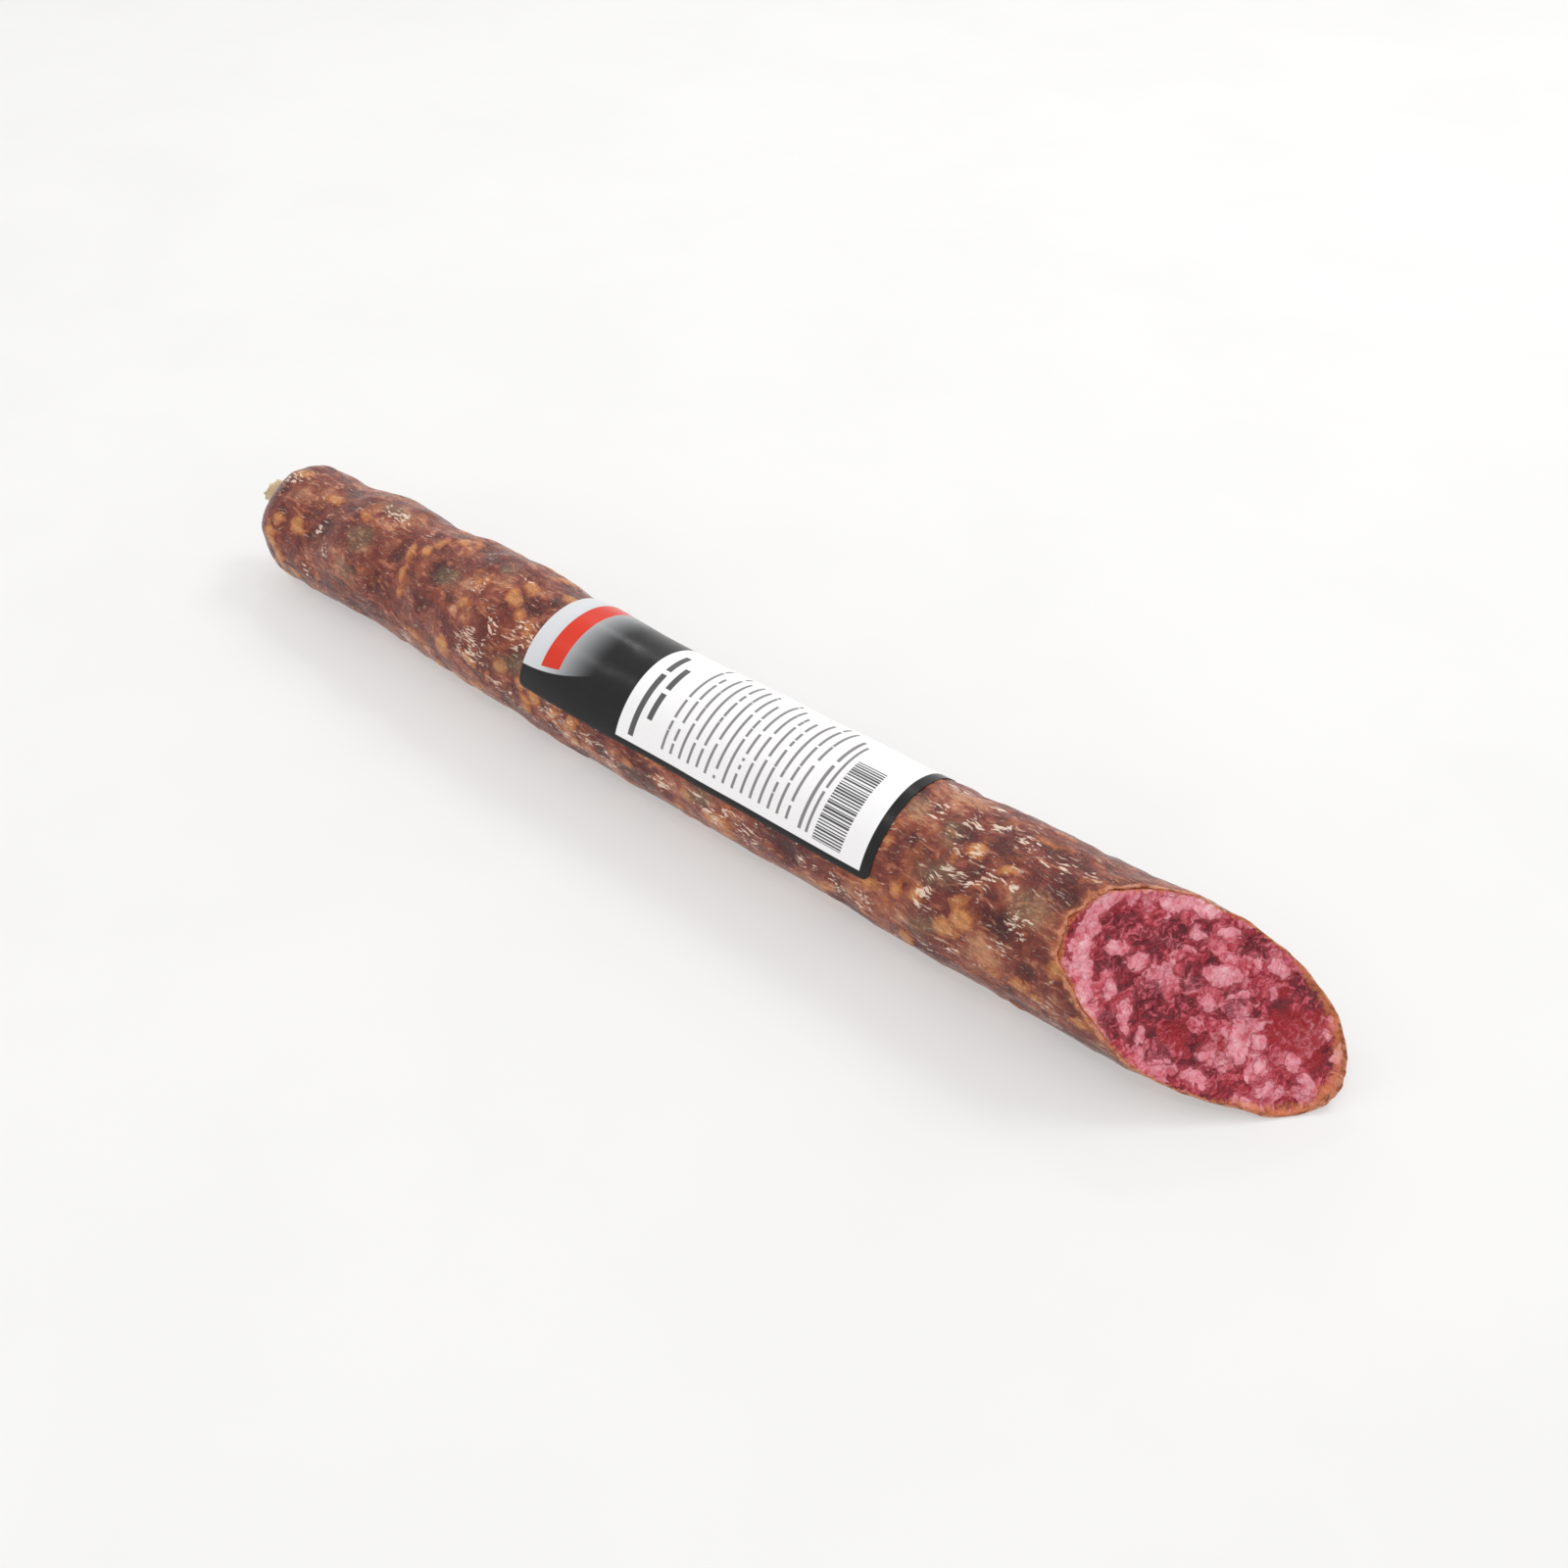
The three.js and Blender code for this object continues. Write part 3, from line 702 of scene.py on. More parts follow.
def shaped_face():
    """The face's rings, moved along its normal: sunk, higher at fat and lower at lean, with a
    grain. Also its centre, what its material reads, and x at its rim."""
    rings, along, across, rim_distance, middle, rim_x = face_rings()
    warped = torn(along, across, 50, 6, 1.1)
    fat, dark = face_depth(*warped, face_fat), face_depth(*warped, face_dark)
    spots = np.stack([along, across, 0 * along], axis=-1)
    grain = layered_noise(spots, 3.4, 70, 4)
    inward = ease(0.2, 3.0, rim_distance)
    pieces = FAT_STANDS * ease(-0.5, 0.6, fat) - LEAN_SINKS * ease(-1, 1.2, dark)
    height = -FACE_SINK * inward + inward * pieces
    height = height + inward * GRAIN_HEIGHT * grain
    height = height + SWAY_HEIGHT * inward * layered_noise(spots, 14, 75, 2)
    centre = middle + height[-1].mean() * FACE_NORMAL
    tags = {
        "fat": (fat, -1), "dark": (dark, -1), "crimson": (face_depth(*warped, FACE_CRIMSON), -4),
        "rim": (rim_distance, 0), "along": (along, 0),
    }
    return rings + height[..., None] * FACE_NORMAL, centre, tags, rim_x


def wall_rings(rim_x):
    """The side wall, from the blunt end up to the rim: rings that start upright and lean over
    until they lie in the cut."""
    share = np.linspace(0, 1, 9)[1:, None]
    near = rim_x - WALL_DEPTH * share
    inset_near = RIM_INSET + (WALL_INSET - RIM_INSET) * ease(0, 1, share)
    wall_near = body_surface(near, face_angles + 0 * near, inset_near)
    lean_share = np.linspace(0, 1, 8)[1:, None]
    leaning = (rim_x - WALL_DEPTH) * (1 - lean_share) + WALL_LEAN_END * lean_share
    wall_lean = body_surface(leaning, face_angles + 0 * leaning, WALL_INSET)
    back = np.linspace(WALL_BACK_START, END_START_X, 24)[:, None] + 0 * face_angles
    wall_back = body_surface(back, face_angles + 0 * back, WALL_INSET)
    end = end_rings(face_angles, INNER_END_RINGS, WALL_INSET, SMALLEST_SHARE)[0]
    return np.concatenate([end, wall_back[::-1], wall_lean[::-1], wall_near[::-1]])


def build_meat():
    """The side wall and then the face, closed at both ends. The wall has one value per tag."""
    face, centre, tags, rim_x = shaped_face()
    wall = wall_rings(rim_x)
    points, faces = closed_stack(end_pole(WALL_INSET), np.concatenate([wall, face]), centre)
    values = {}
    for name, (on_face, on_wall) in tags.items():
        wall_part = np.full(len(wall) * FACE_AROUND, float(on_wall))
        values[name] = np.concatenate([wall_part, on_face.ravel(), [on_wall, on_face[-1].mean()]])
    return add_mesh("sausage_meat", points, faces, values)


meat = build_meat()
print("meat faces", len(meat.data.polygons))

# %% [markdown]
# ## The label
#
# A glossy paper label is stuck half round the middle. It follows the lumps of the skin softly,
# as paper does, so its sheet is the body's formula again, a little further out, with only the
# broad lumps kept. Its own map, in shares of its length and width, places the print. The sheet
# has a real thickness, and its corners are rounded.

# %% The label's sheet
LABEL_LIFT, LABEL_PAPER = 0.13, 0.14
LABEL_LUMP_HEIGHT, LABEL_SOFTNESS = 0.36, 0.25
LABEL_CORNER = 2.0
LABEL_ROWS, LABEL_COLUMNS = 150, 76
LABEL_LENGTH = LABEL_END_X - LABEL_START_X
LABEL_WIDTH = (LABEL_FRONT_ANGLE - LABEL_BACK_ANGLE) * 20.2


def label_point(length_share, width_share, lift):
    """The point at shares of length and width. Near the ends of the length the width shrinks
    by c - sqrt(c^2 - d^2), a corner of radius c, where d is how far the corner has begun."""
    from_end = np.minimum(length_share, 1 - length_share) * LABEL_LENGTH
    begun = np.clip(LABEL_CORNER - from_end, 0, LABEL_CORNER)
    cut_back = LABEL_CORNER - np.sqrt(LABEL_CORNER**2 - begun**2)
    shrink = 1 - 2 * cut_back / LABEL_WIDTH
    width = 0.5 + (width_share - 0.5) * shrink
    x = LABEL_START_X + length_share * LABEL_LENGTH
    angle = LABEL_FRONT_ANGLE + (LABEL_BACK_ANGLE - LABEL_FRONT_ANGLE) * width
    smooth = smooth_body(x, angle)
    lumps = LABEL_LUMP_HEIGHT * layered_noise(smooth, LUMP_SIZE, LUMP_SEED, 2) * LABEL_SOFTNESS
    middle_y, middle_z = spine(x)
    radius = girth(x) + swelling(x, angle) - RELIEF_DEPTH + lumps + lift
    y = middle_y - radius * np.sin(angle)
    return np.stack([x, y, middle_z + radius * np.cos(angle)], axis=-1), width


def corner_stations(count):
    """Shares from 0 to 1 that crowd together over the rounded corners at both ends."""
    corner = LABEL_CORNER / LABEL_LENGTH
    curve = corner * (1 - np.cos(np.linspace(0, np.pi / 2, 9)[:-1]))
    return np.concatenate([curve, np.linspace(corner, 1 - corner, count - 16), 1 - curve[::-1]])


def build_label():
    """A top sheet and a bottom sheet joined round their edge, with the top's map."""
    length_share, width_share = np.meshgrid(
        corner_stations(LABEL_ROWS), np.linspace(0, 1, LABEL_COLUMNS), indexing="ij")
    top, width = label_point(length_share, width_share, LABEL_LIFT + LABEL_PAPER)
    bottom, _ = label_point(length_share, width_share, LABEL_LIFT)
    count = top.shape[0] * top.shape[1]
    index = np.arange(count).reshape(top.shape[:2])
    quads = np.stack([index[:-1, :-1], index[:-1, 1:], index[1:, 1:], index[1:, :-1]], axis=-1)
    quads = quads.reshape(-1, 4)
    border = np.concatenate([index[:-1, 0], index[-1, :-1], index[:0:-1, -1], index[0, :0:-1]])
    after = np.roll(border, -1)
    sides = np.stack([border, after, after + count, border + count], axis=-1)
    faces = np.concatenate([quads, quads[:, ::-1] + count, sides])
    points = np.concatenate([top.reshape(-1, 3), bottom.reshape(-1, 3)])
    label = add_mesh("paper_label", points, faces.tolist())
    label_map = label.data.uv_layers.new(name="label_map")
    corners = np.empty(len(label.data.loops), np.int64)
    label.data.loops.foreach_get("vertex_index", corners)
    shares = np.stack([length_share.ravel(), width.ravel()], axis=-1)
    label_map.data.foreach_set("uv", shares[corners % count].astype(np.float32).ravel())
    return label


label = build_label()
print("label faces", len(label.data.polygons))
print("label", round(LABEL_LENGTH, 1), "by", round(LABEL_WIDTH, 1), "mm")

# %% [markdown]
# ## The twine tie
#
# Three turns of cotton twine hold the gathered gut. Twine is two plies twisted together, so
# its cross-section isn't round: it has two lobes that turn as the path goes on. Carrying that
# profile along a helix gives the ply lines as real shape.

# %% The twine
TWINE_RADIUS = 0.5
TWINE_TURNS, TWINE_PITCH, TWINE_START = 3, 1.08, 2.45
NECK_RADIUS, NECK_SPREAD, TWINE_CLEARANCE, TWINE_BITE = 2.2, 1.12, 0.3, 0.12
HELIX_RADIUS = NECK_RADIUS * NECK_SPREAD + TWINE_CLEARANCE + TWINE_RADIUS
PLY_TWIST, PLY_CORE, PLY_LOBE = 2.6, 0.74, 0.26
TWINE_STEPS, TWINE_AROUND = 260, 20


def twine_path(count):
    """A helix round the tail: out by r, on by pitch per turn, and never quite even."""
    turn = np.linspace(0, TWINE_TURNS, count)
    angle = 2 * np.pi * turn
    wobble = 0.05 * np.sin(7 * angle / 3)
    out = (HELIX_RADIUS - TWINE_BITE + wobble)[:, None]
    along = (TWINE_START + TWINE_PITCH * turn)[:, None]
    circle = out * (np.cos(angle)[:, None] * TAIL_UP + np.sin(angle)[:, None] * TAIL_SIDE)
    return end_pole(0) + along * TAIL_ALONG + circle


def tube(path, around, profile):
    """Rings carried along a path. Each ring lies square to the path, on a frame whose side is
    square to the path and to +Z, and profile(step, angle) gives its radius."""
    forward = np.gradient(path, axis=0)
    forward /= np.linalg.norm(forward, axis=1, keepdims=True)
    side = np.cross(forward, [0.0, 0.0, 1.0])
    side /= np.linalg.norm(side, axis=1, keepdims=True)
    over = np.cross(side, forward)
    angle = 2 * np.pi * np.arange(around) / around
    step = np.arange(len(path))[:, None]
    radius = profile(step, angle)[..., None]
    across = np.cos(angle)[None, :, None] * side[:, None] + np.sin(angle)[None, :, None] * over[:, None]
    return path[:, None] + radius * across


def ply_profile(length_per_step):
    """Two plies: r = R (0.74 + 0.26 |cos(a - twist)|), tapered to a quarter at both ends."""
    def profile(step, angle):
        """Radius at each step of the path and each angle around it."""
        last = step.max()
        taper = np.clip(np.minimum(step, last - step) / 3, 0.25, 1)
        lobes = np.abs(np.cos(angle - PLY_TWIST * step * length_per_step))
        return TWINE_RADIUS * (PLY_CORE + PLY_LOBE * lobes) * taper
    return profile


def build_twine():
    """The tied turns as one closed tube."""
    path = twine_path(TWINE_STEPS)
    step_length = np.linalg.norm(np.diff(path, axis=0), axis=1).mean()
    rings = tube(path, TWINE_AROUND, ply_profile(step_length))
    points, faces = closed_stack(path[0], rings, path[-1])
    along = np.repeat(np.arange(len(path)) * step_length, TWINE_AROUND)
    values = {"along": np.append(along, [0, along[-1]])}
    return add_mesh("twine_tie", points, faces, values)


twine = build_twine()
print("twine faces", len(twine.data.polygons))

# %% [markdown]
# ## A short way to write shader maths
#
# A material is a graph of nodes, and long sums of Math nodes are hard to read. `Value` wraps
# an output socket so that Python's own operators add the nodes. `Finish` holds one material
# and makes every other node with one method: its type, its settings, then its sockets.

# %% Finish and Value
def operator(operation, swapped=False):
    """A method that adds one Math node. A right-hand operator has its inputs swapped."""
    def method(self, *others):
        return self.math(operation, *((*others, self) if swapped else (self, *others)))
    return method


class Value:
    """An output socket of a finish. Arithmetic on it adds Math nodes."""

    def __init__(self, finish, socket):
        self.finish, self.socket = finish, socket

    def math(self, operation, *inputs):
        """The Math node for that operation, with those inputs."""
        return self.finish.node("ShaderNodeMath", {"operation": operation}, dict(enumerate(inputs)))

    __add__, __radd__ = operator("ADD"), operator("ADD", True)
    __sub__, __rsub__ = operator("SUBTRACT"), operator("SUBTRACT", True)
    __mul__, __rmul__ = operator("MULTIPLY"), operator("MULTIPLY", True)
    __truediv__, __abs__ = operator("DIVIDE"), operator("ABSOLUTE")
    least, most = operator("MINIMUM"), operator("MAXIMUM")
    whole, fraction, sine = operator("FLOOR"), operator("FRACT"), operator("SINE")

    def hashed(self, turn, spread):
        """A number from 0 to 1 that looks random, for a whole number n: the fraction of
        sin(n * turn) * spread."""
        return ((self * turn).sine() * spread).fraction()

    def eased(self, start, end):
        """0 at start and 1 at end, with a soft step between; start may be the larger."""
        low, high = min(start, end), max(start, end)
        sockets = {0: self, 1: low, 2: high}
        settings = {"interpolation_type": "SMOOTHSTEP"}
        step = self.finish.node("ShaderNodeMapRange", settings, sockets)
        return step if start < end else 1 - step


class Finish:
    """One material and its node tree."""

    def __init__(self, name):
        self.material = bpy.data.materials.new(name)
        self.material.use_nodes = True
        self.tree = self.material.node_tree
        self.tree.nodes.clear()

    def node(self, kind, settings=(), sockets=(), output=0):
        """A node of that kind, with its settings made before its sockets are filled."""
        made = self.tree.nodes.new(kind)
        for name, setting in dict(settings).items():
            if name == "stops":
                self.set_stops(made.color_ramp, setting)
            else:
                setattr(made, name, setting)
        for name, given in dict(sockets).items():
            if isinstance(given, Value):
                self.tree.links.new(given.socket, made.inputs[name])
            else:
                made.inputs[name].default_value = given
        return Value(self, made.outputs[output]) if made.outputs else None

    def set_stops(self, ramp, stops):
        """The ramp's stops, as places and colours."""
        while len(ramp.elements) < len(stops):
            ramp.elements.new(0.5)
        for element, (place, colour) in zip(ramp.elements, stops):
            element.position, element.color = place, colour

    def place(self):
        """The point on the piece in millimetres."""
        coordinates = self.node("ShaderNodeTexCoord", output="Object")
        return self.scaled(coordinates, (1000, 1000, 1000))

    def scaled(self, vector, scale):
        """The vector times another, axis by axis."""
        sockets = {0: vector, 1: scale}
        return self.node("ShaderNodeVectorMath", {"operation": "MULTIPLY"}, sockets)

    def added(self, vector, other):
        """The sum of two vectors."""
        return self.node("ShaderNodeVectorMath", {"operation": "ADD"}, {0: vector, 1: other})

    def noise(self, vector, size, detail=3, roughness=0.55, output=0):
        """Noise from about 0.2 to 0.8, whose lumps are `size` millimetres across."""
        sockets = {"Vector": vector, "Scale": 1 / size, "Detail": detail, "Roughness": roughness}
        return self.node("ShaderNodeTexNoise", {}, sockets, output)

    def cells(self, vector, size):
        """A random number for each Voronoi cell; the cells are `size` millimetres across."""
        colours = self.node("ShaderNodeTexVoronoi", {"feature": "F1"},
                            {"Vector": vector, "Scale": 1 / size, "Randomness": 1.0}, "Color")
        return self.node("ShaderNodeSeparateColor", {}, {0: colours}, 0)

    def seams(self, vector, size):
        """Distance to the border between the same cells, in shares of their size."""
        sockets = {"Vector": vector, "Scale": 1 / size, "Randomness": 1.0}
        return self.node("ShaderNodeTexVoronoi", {"feature": "DISTANCE_TO_EDGE"}, sockets, "Distance")

    def warped(self, vector, size, amount):
        """Places pushed about by noise, by up to half of amount each way."""
        push = self.node("ShaderNodeVectorMath", {"operation": "SUBTRACT"},
                         {0: self.noise(vector, size, 2, 0.5, "Color"), 1: (0.5, 0.5, 0.5)})
        return self.added(vector, self.scaled(push, (amount, amount, amount)))

    def attribute(self, name):
        """A value that is stored on the piece's points."""
        return self.node("ShaderNodeAttribute", {"attribute_name": name}, (), "Fac")

    def ramp(self, value, stops):
        """A colour for the value, blended between the stops."""
        return self.node("ShaderNodeValToRGB", {"stops": stops}, {0: value})

    def mixed(self, base, top, share):
        """The base colour with that share of the top one over it."""
        return self.node("ShaderNodeMix", {"data_type": "RGBA"}, {0: share, 6: base, 7: top}, 2)

    def bump(self, height):
        """A normal from a height in millimetres."""
        return self.node("ShaderNodeBump", {}, {"Height": height, "Strength": 1.0, "Distance": MM})

    def surface(self, piece, **sockets):
        """A Principled shader as the finish of that piece. Sockets are named in snake_case."""
        named = {name.replace("_", " ").title().replace("Ior", "IOR"): v for name, v in sockets.items()}
        shader = self.node("ShaderNodeBsdfPrincipled", {}, named)
        self.node("ShaderNodeOutputMaterial", {}, {"Surface": shader})
        piece.data.materials.clear()
        piece.data.materials.append(self.material)


def paint(red, green, blue):
    """A screen colour from 0 to 255 as the linear colour that shaders need."""
    share = np.array([red, green, blue]) / 255
    linear = np.where(share <= 0.04045, share / 12.92, ((share + 0.055) / 1.055) ** 2.4)
    return (*linear.tolist(), 1.0)


# %% [markdown]
# ## The finish of the casing
#
# The skin is dry gut stretched over meat. It is a thin brown glaze: lean shows through as
# maroon, fat as orange, and old mould as grey. Thin lines of painted shade run along the fine
# creases, and a painted highlight lightens their crests. Pale bloom lies on them as short
# flecks, which are also painted glints of light on the wrinkles. The finish lays these over
# each other in that order, each with its outline broken by noise.

# %% Casing
SKIN_DARK, SKIN_BROWN, SKIN_MID = paint(76, 26, 19), paint(108, 43, 32), paint(136, 61, 45)
SKIN_LIGHT, SKIN_TAN_AND_CREST_HIGHLIGHT, SKIN_WINE = paint(160, 87, 63), paint(194, 134, 100), paint(104, 34, 33)
FAT_ORANGE, FAT_PALE = paint(190, 110, 56), paint(216, 154, 94)
LEAN_MAROON, LEAN_BLACK_AND_CREASE_SHADE = paint(84, 24, 24), paint(46, 16, 18)
MOULD_GREY, MOULD_PALE = paint(130, 112, 86), paint(168, 148, 116)
BLOOM_AND_GLINT_WHITE = paint(240, 218, 198)
EDGE_AMBER, EDGE_PALE, TAIL_CREAM = paint(200, 112, 58), paint(222, 152, 120), paint(236, 224, 190)


def casing_finish():
    """Tones of the skin, then its patches, the painted shade and painted highlight of its creases,
    bloom that also paints glints, and last its edge and tail.
    """
    skin = Finish("dried_gut")
    place = skin.place()
    swirled = skin.warped(place, 14, 8)
    crinkled = skin.warped(swirled, 3, 2.2)
    drawn = skin.warped(place, 9, 6)
    streaks = skin.noise(skin.scaled(drawn, (0.26, 1, 1)), 1.5, 3, 0.6)

    broad = skin.noise(swirled, 17, 2, 0.5)
    tone = skin.noise(swirled, 9, 3, 0.55) * 0.44 + skin.noise(crinkled, 3.4, 2, 0.5) * 0.20
    tone = tone + streaks * 0.22 + broad * 0.14
    colour = skin.ramp(tone, ((0.40, SKIN_DARK), (0.45, SKIN_BROWN), (0.50, SKIN_MID),
                              (0.55, SKIN_LIGHT), (0.61, SKIN_TAN_AND_CREST_HIGHLIGHT)))
    glow = skin.noise(crinkled, 5.5, 2).eased(0.55, 0.63)
    colour = skin.mixed(colour, FAT_ORANGE, glow * 0.30)
    colour = skin.mixed(colour, SKIN_WINE, broad.eased(0.56, 0.42) * 0.42)

    ragged = skin.noise(crinkled, 3.0, 3, 0.55) * 5 - 2.5
    lean = skin.attribute("lean") + ragged
    colour = skin.mixed(colour, LEAN_MAROON, lean.eased(-0.5, 0.6) * 0.68)
    colour = skin.mixed(colour, LEAN_BLACK_AND_CREASE_SHADE, lean.eased(0.8, 2.0) * 0.5)
    fat = skin.attribute("fat") + ragged * 0.8
    colour = skin.mixed(colour, FAT_ORANGE, fat.eased(-0.2, 0.6) * 0.72)
    colour = skin.mixed(colour, FAT_PALE, fat.eased(0.5, 1.6) * 0.6)
    grey = (skin.attribute("grey") + ragged).eased(-1.8, 2.2)
    colour = skin.mixed(colour, MOULD_GREY, grey * 0.45)
    dust = skin.noise(crinkled, 1.3, 4, 0.7).eased(0.54, 0.66)
    colour = skin.mixed(colour, MOULD_PALE, dust * (0.14 + grey * 0.4))

    # Painted shade: thin near-black lines along the creases of the fine wrinkles.
    painted_crease_shade = abs(streaks - 0.5) * 2
    colour = skin.mixed(colour, LEAN_BLACK_AND_CREASE_SHADE, painted_crease_shade.eased(0.16, 0.0) * 0.32)
    # Painted highlight: tan on the crests of the wrinkles, where their height is greatest.
    colour = skin.mixed(colour, SKIN_TAN_AND_CREST_HIGHLIGHT, streaks.eased(0.58, 0.70) * 0.45)
    # Bloom: pale mould flecks that are also painted glints of light on the wrinkles.
    gathered = (skin.attribute("bloom") + ragged * 1.2).eased(-1.0, 1.0)
    patchy = skin.noise(swirled, 8, 3, 0.6).eased(0.46, 0.62)
    flake_and_glint_noise = skin.noise(skin.scaled(drawn, (0.20, 1, 1)), 0.66, 2, 0.5)
    level = 0.655 - gathered * 0.120 - patchy * 0.045
    bloom = ((flake_and_glint_noise - level) * 14).most(0).least(1)
    colour = skin.mixed(colour, BLOOM_AND_GLINT_WHITE, bloom * (0.40 + gathered * 0.40))

    edge = skin.attribute("edge")
    worn = (skin.noise(place, 2.0, 4, 0.65) - 0.5) * 2
    colour = skin.mixed(colour, EDGE_AMBER, (edge + worn * 0.8).eased(0.1, 1.1) * 0.42)
    colour = skin.mixed(colour, EDGE_PALE, (edge + worn * 1.3).eased(0.75, 1.1) * 0.6)
    tail = skin.attribute("tail")
    fibres = skin.noise(skin.scaled(place, (0.35, 1.6, 1.2)), 0.5, 3)
    tail_colour = skin.mixed(TAIL_CREAM, FAT_PALE, fibres.eased(0.50, 0.62) * 0.5)
    colour = skin.mixed(colour, tail_colour, tail)

    height = streaks * 0.60 + skin.noise(crinkled, 0.9, 2, 0.5) * 0.30 + ragged * 0.06 + bloom * 0.05
    roughness = 0.15 + skin.noise(swirled, 3, 3) * 0.24 + bloom * 0.2 + dust * 0.06 + tail * 0.3
    skin.surface(casing, base_color=colour, roughness=roughness, normal=skin.bump(height),
                 subsurface_weight=0.08, subsurface_scale=0.0015,
                 subsurface_radius=(1.0, 0.35, 0.2), specular_ior_level=0.36)
    return skin


casing_look = casing_finish()
print("casing nodes", len(casing_look.tree.nodes))

# %% [markdown]
# ## The finish of the meat
#
# Fresh cut cured meat is wet. Lean shows torn fibres from deep burgundy to crimson, and fat is
# pink and slightly see-through, with fine lean threads in it. A Voronoi texture's cells give
# the mince its crumbs, the borders between them give it dark seams, and the placed pieces from
# the mesh give the big ones. Towards the rim the slice has dried to orange and brown; the orange
# band, widest at the thin low tip, is also a painted glow of light coming through the thin slice.

# %% Meat
LEAN_DEEP, LEAN_WINE, LEAN_RED = paint(84, 4, 20), paint(128, 14, 36), paint(172, 36, 56)
PINK_MID, PINK_LIGHT = paint(206, 90, 106), paint(226, 134, 148)
FACE_FAT_PINK, FACE_FAT_WHITE = paint(238, 170, 180), paint(248, 212, 212)
CRIMSON_GLAZE, RIM_ORANGE_AND_GLOW, RIM_BROWN = paint(160, 8, 24), paint(224, 138, 78), paint(184, 92, 46)


def meat_finish():
    """Minced lean, then the placed dark, crimson and fat pieces, and last the dried rim with its
    painted glow.
    """
    flesh = Finish("cured_meat")
    place = flesh.place()
    torn_place = flesh.warped(place, 5, 4.5)
    finer = flesh.warped(torn_place, 1.6, 1.6)
    chunk_place = flesh.scaled(flesh.warped(torn_place, 2.4, 3.4), (1, 0.6, 1))
    chunk = flesh.cells(chunk_place, 4.6)
    seam = flesh.seams(chunk_place, 4.6).eased(0.09, 0.0)
    crumb = flesh.cells(finer, 2.0)
    strands = flesh.noise(flesh.scaled(finer, (1, 0.45, 1)), 1.0, 3, 0.6)
    broad = flesh.noise(torn_place, 6, 3, 0.55)

    tone = chunk * 0.22 + crumb * 0.10 + strands * 0.42 + broad * 0.26
    colour = flesh.ramp(tone, ((0.33, LEAN_DEEP), (0.40, LEAN_WINE), (0.465, LEAN_RED),
                               (0.53, PINK_MID), (0.60, PINK_LIGHT), (0.69, FACE_FAT_PINK)))
    colour = flesh.mixed(colour, LEAN_WINE, seam * 0.25)
    ragged = flesh.noise(finer, 2.8, 4, 0.62) * 4 - 2
    dark = (flesh.attribute("dark") + ragged).eased(-0.4, 0.35)
    dark_colour = flesh.ramp(strands, ((0.38, LEAN_DEEP), (0.52, LEAN_WINE), (0.64, PINK_MID)))
    colour = flesh.mixed(colour, dark_colour, dark * 0.80)
    crimson = (flesh.attribute("crimson") + ragged).eased(-0.8, 1.2)
    glaze = crimson * (0.45 + strands.eased(0.62, 0.4) * 0.45)
    colour = flesh.mixed(colour, CRIMSON_GLAZE, glaze)

    fat_edge = flesh.attribute("fat") + ragged * 0.95
    fat_tone = flesh.noise(finer, 2.4, 3, 0.5) * 0.4 + strands * 0.5 + fat_edge.eased(0, 2.4) * 0.1
    fat_colour = flesh.ramp(fat_tone, ((0.36, PINK_MID), (0.44, PINK_LIGHT), (0.55, FACE_FAT_PINK),
                                       (0.68, FACE_FAT_WHITE)))
    vein = abs(flesh.noise(torn_place, 3.4, 3, 0.55) - 0.5).eased(0.03, 0.0)
    fat_colour = flesh.mixed(fat_colour, LEAN_RED, vein * 0.35)
    colour = flesh.mixed(colour, PINK_MID, fat_edge.eased(-0.8, 0.0) * 0.5)
    fat = fat_edge.eased(-0.08, 0.14)
    colour = flesh.mixed(colour, LEAN_WINE, fat_edge.eased(-0.45, -0.12) * (1 - fat) * 0.35)
    colour = flesh.mixed(colour, fat_colour, fat * 0.84)

    # The orange rim band is the dried edge and also a painted glow of light through the thin slice,
    # widest at the low tip.
    rim_distance = flesh.attribute("rim")
    tip = flesh.attribute("along").eased(6, 32)
    rim_width = 0.55 + tip * 2.4
    frayed = (flesh.noise(place, 2.2, 4, 0.65) - 0.5) * 2.4
    rim_and_glow_share = (rim_distance / rim_width + frayed).eased(1.1, 0.2)
    colour = flesh.mixed(colour, RIM_ORANGE_AND_GLOW, rim_and_glow_share * 0.62)
    outer = (rim_distance + (flesh.noise(place, 1.2) - 0.5) * 1.4).eased(0.6, 0.0)
    colour = flesh.mixed(colour, RIM_BROWN, outer * (0.25 + tip * 0.45))

    height = strands * (0.95 - fat * 0.55) + flesh.noise(finer, 0.7, 2, 0.5) * 0.34
    height = height + chunk * 0.10 + fat * 0.12 - dark * 0.10
    roughness = 0.07 + flesh.noise(place, 0.9, 3) * 0.22 + rim_and_glow_share * 0.12
    flesh.surface(meat, base_color=colour, roughness=roughness, normal=flesh.bump(height),
                  subsurface_weight=0.12, subsurface_scale=0.0012,
                  subsurface_radius=(1.0, 0.3, 0.25), specular_ior_level=0.42)
    return flesh


meat_look = meat_finish()
print("meat nodes", len(meat_look.tree.nodes))

# %% [markdown]
# ## The finish of the label
#
# The label carries no maker's print. What remains is what any such label has: a black border,
# a dark header that turns to silver at one corner, a plain red band, and a white panel of
# grey rules in place of lines of text, with a block of plain bars. Each is a rectangle or a
# curve in millimetres on the label's map, where `across` runs back from the front edge.

# %% Label
INK_BLACK, INK_GREY, PAPER_WHITE = paint(22, 22, 24), paint(96, 92, 94), paint(246, 245, 246)
SILVER, BAND_RED = paint(214, 216, 220), paint(214, 52, 30)
HEADER_END, PANEL_END = 36.0, 116.0
FRONT_BORDER, BACK_BORDER = 1.8, 2.0
TEXT_START, TEXT_END, LINE_SPACING = 50, 94.2, 2.95
LINE_LENGTH, LINE_SHORTENING = 40, 9
BARS_PER_MM = 1.3
PRINT_BLUR = 0.10


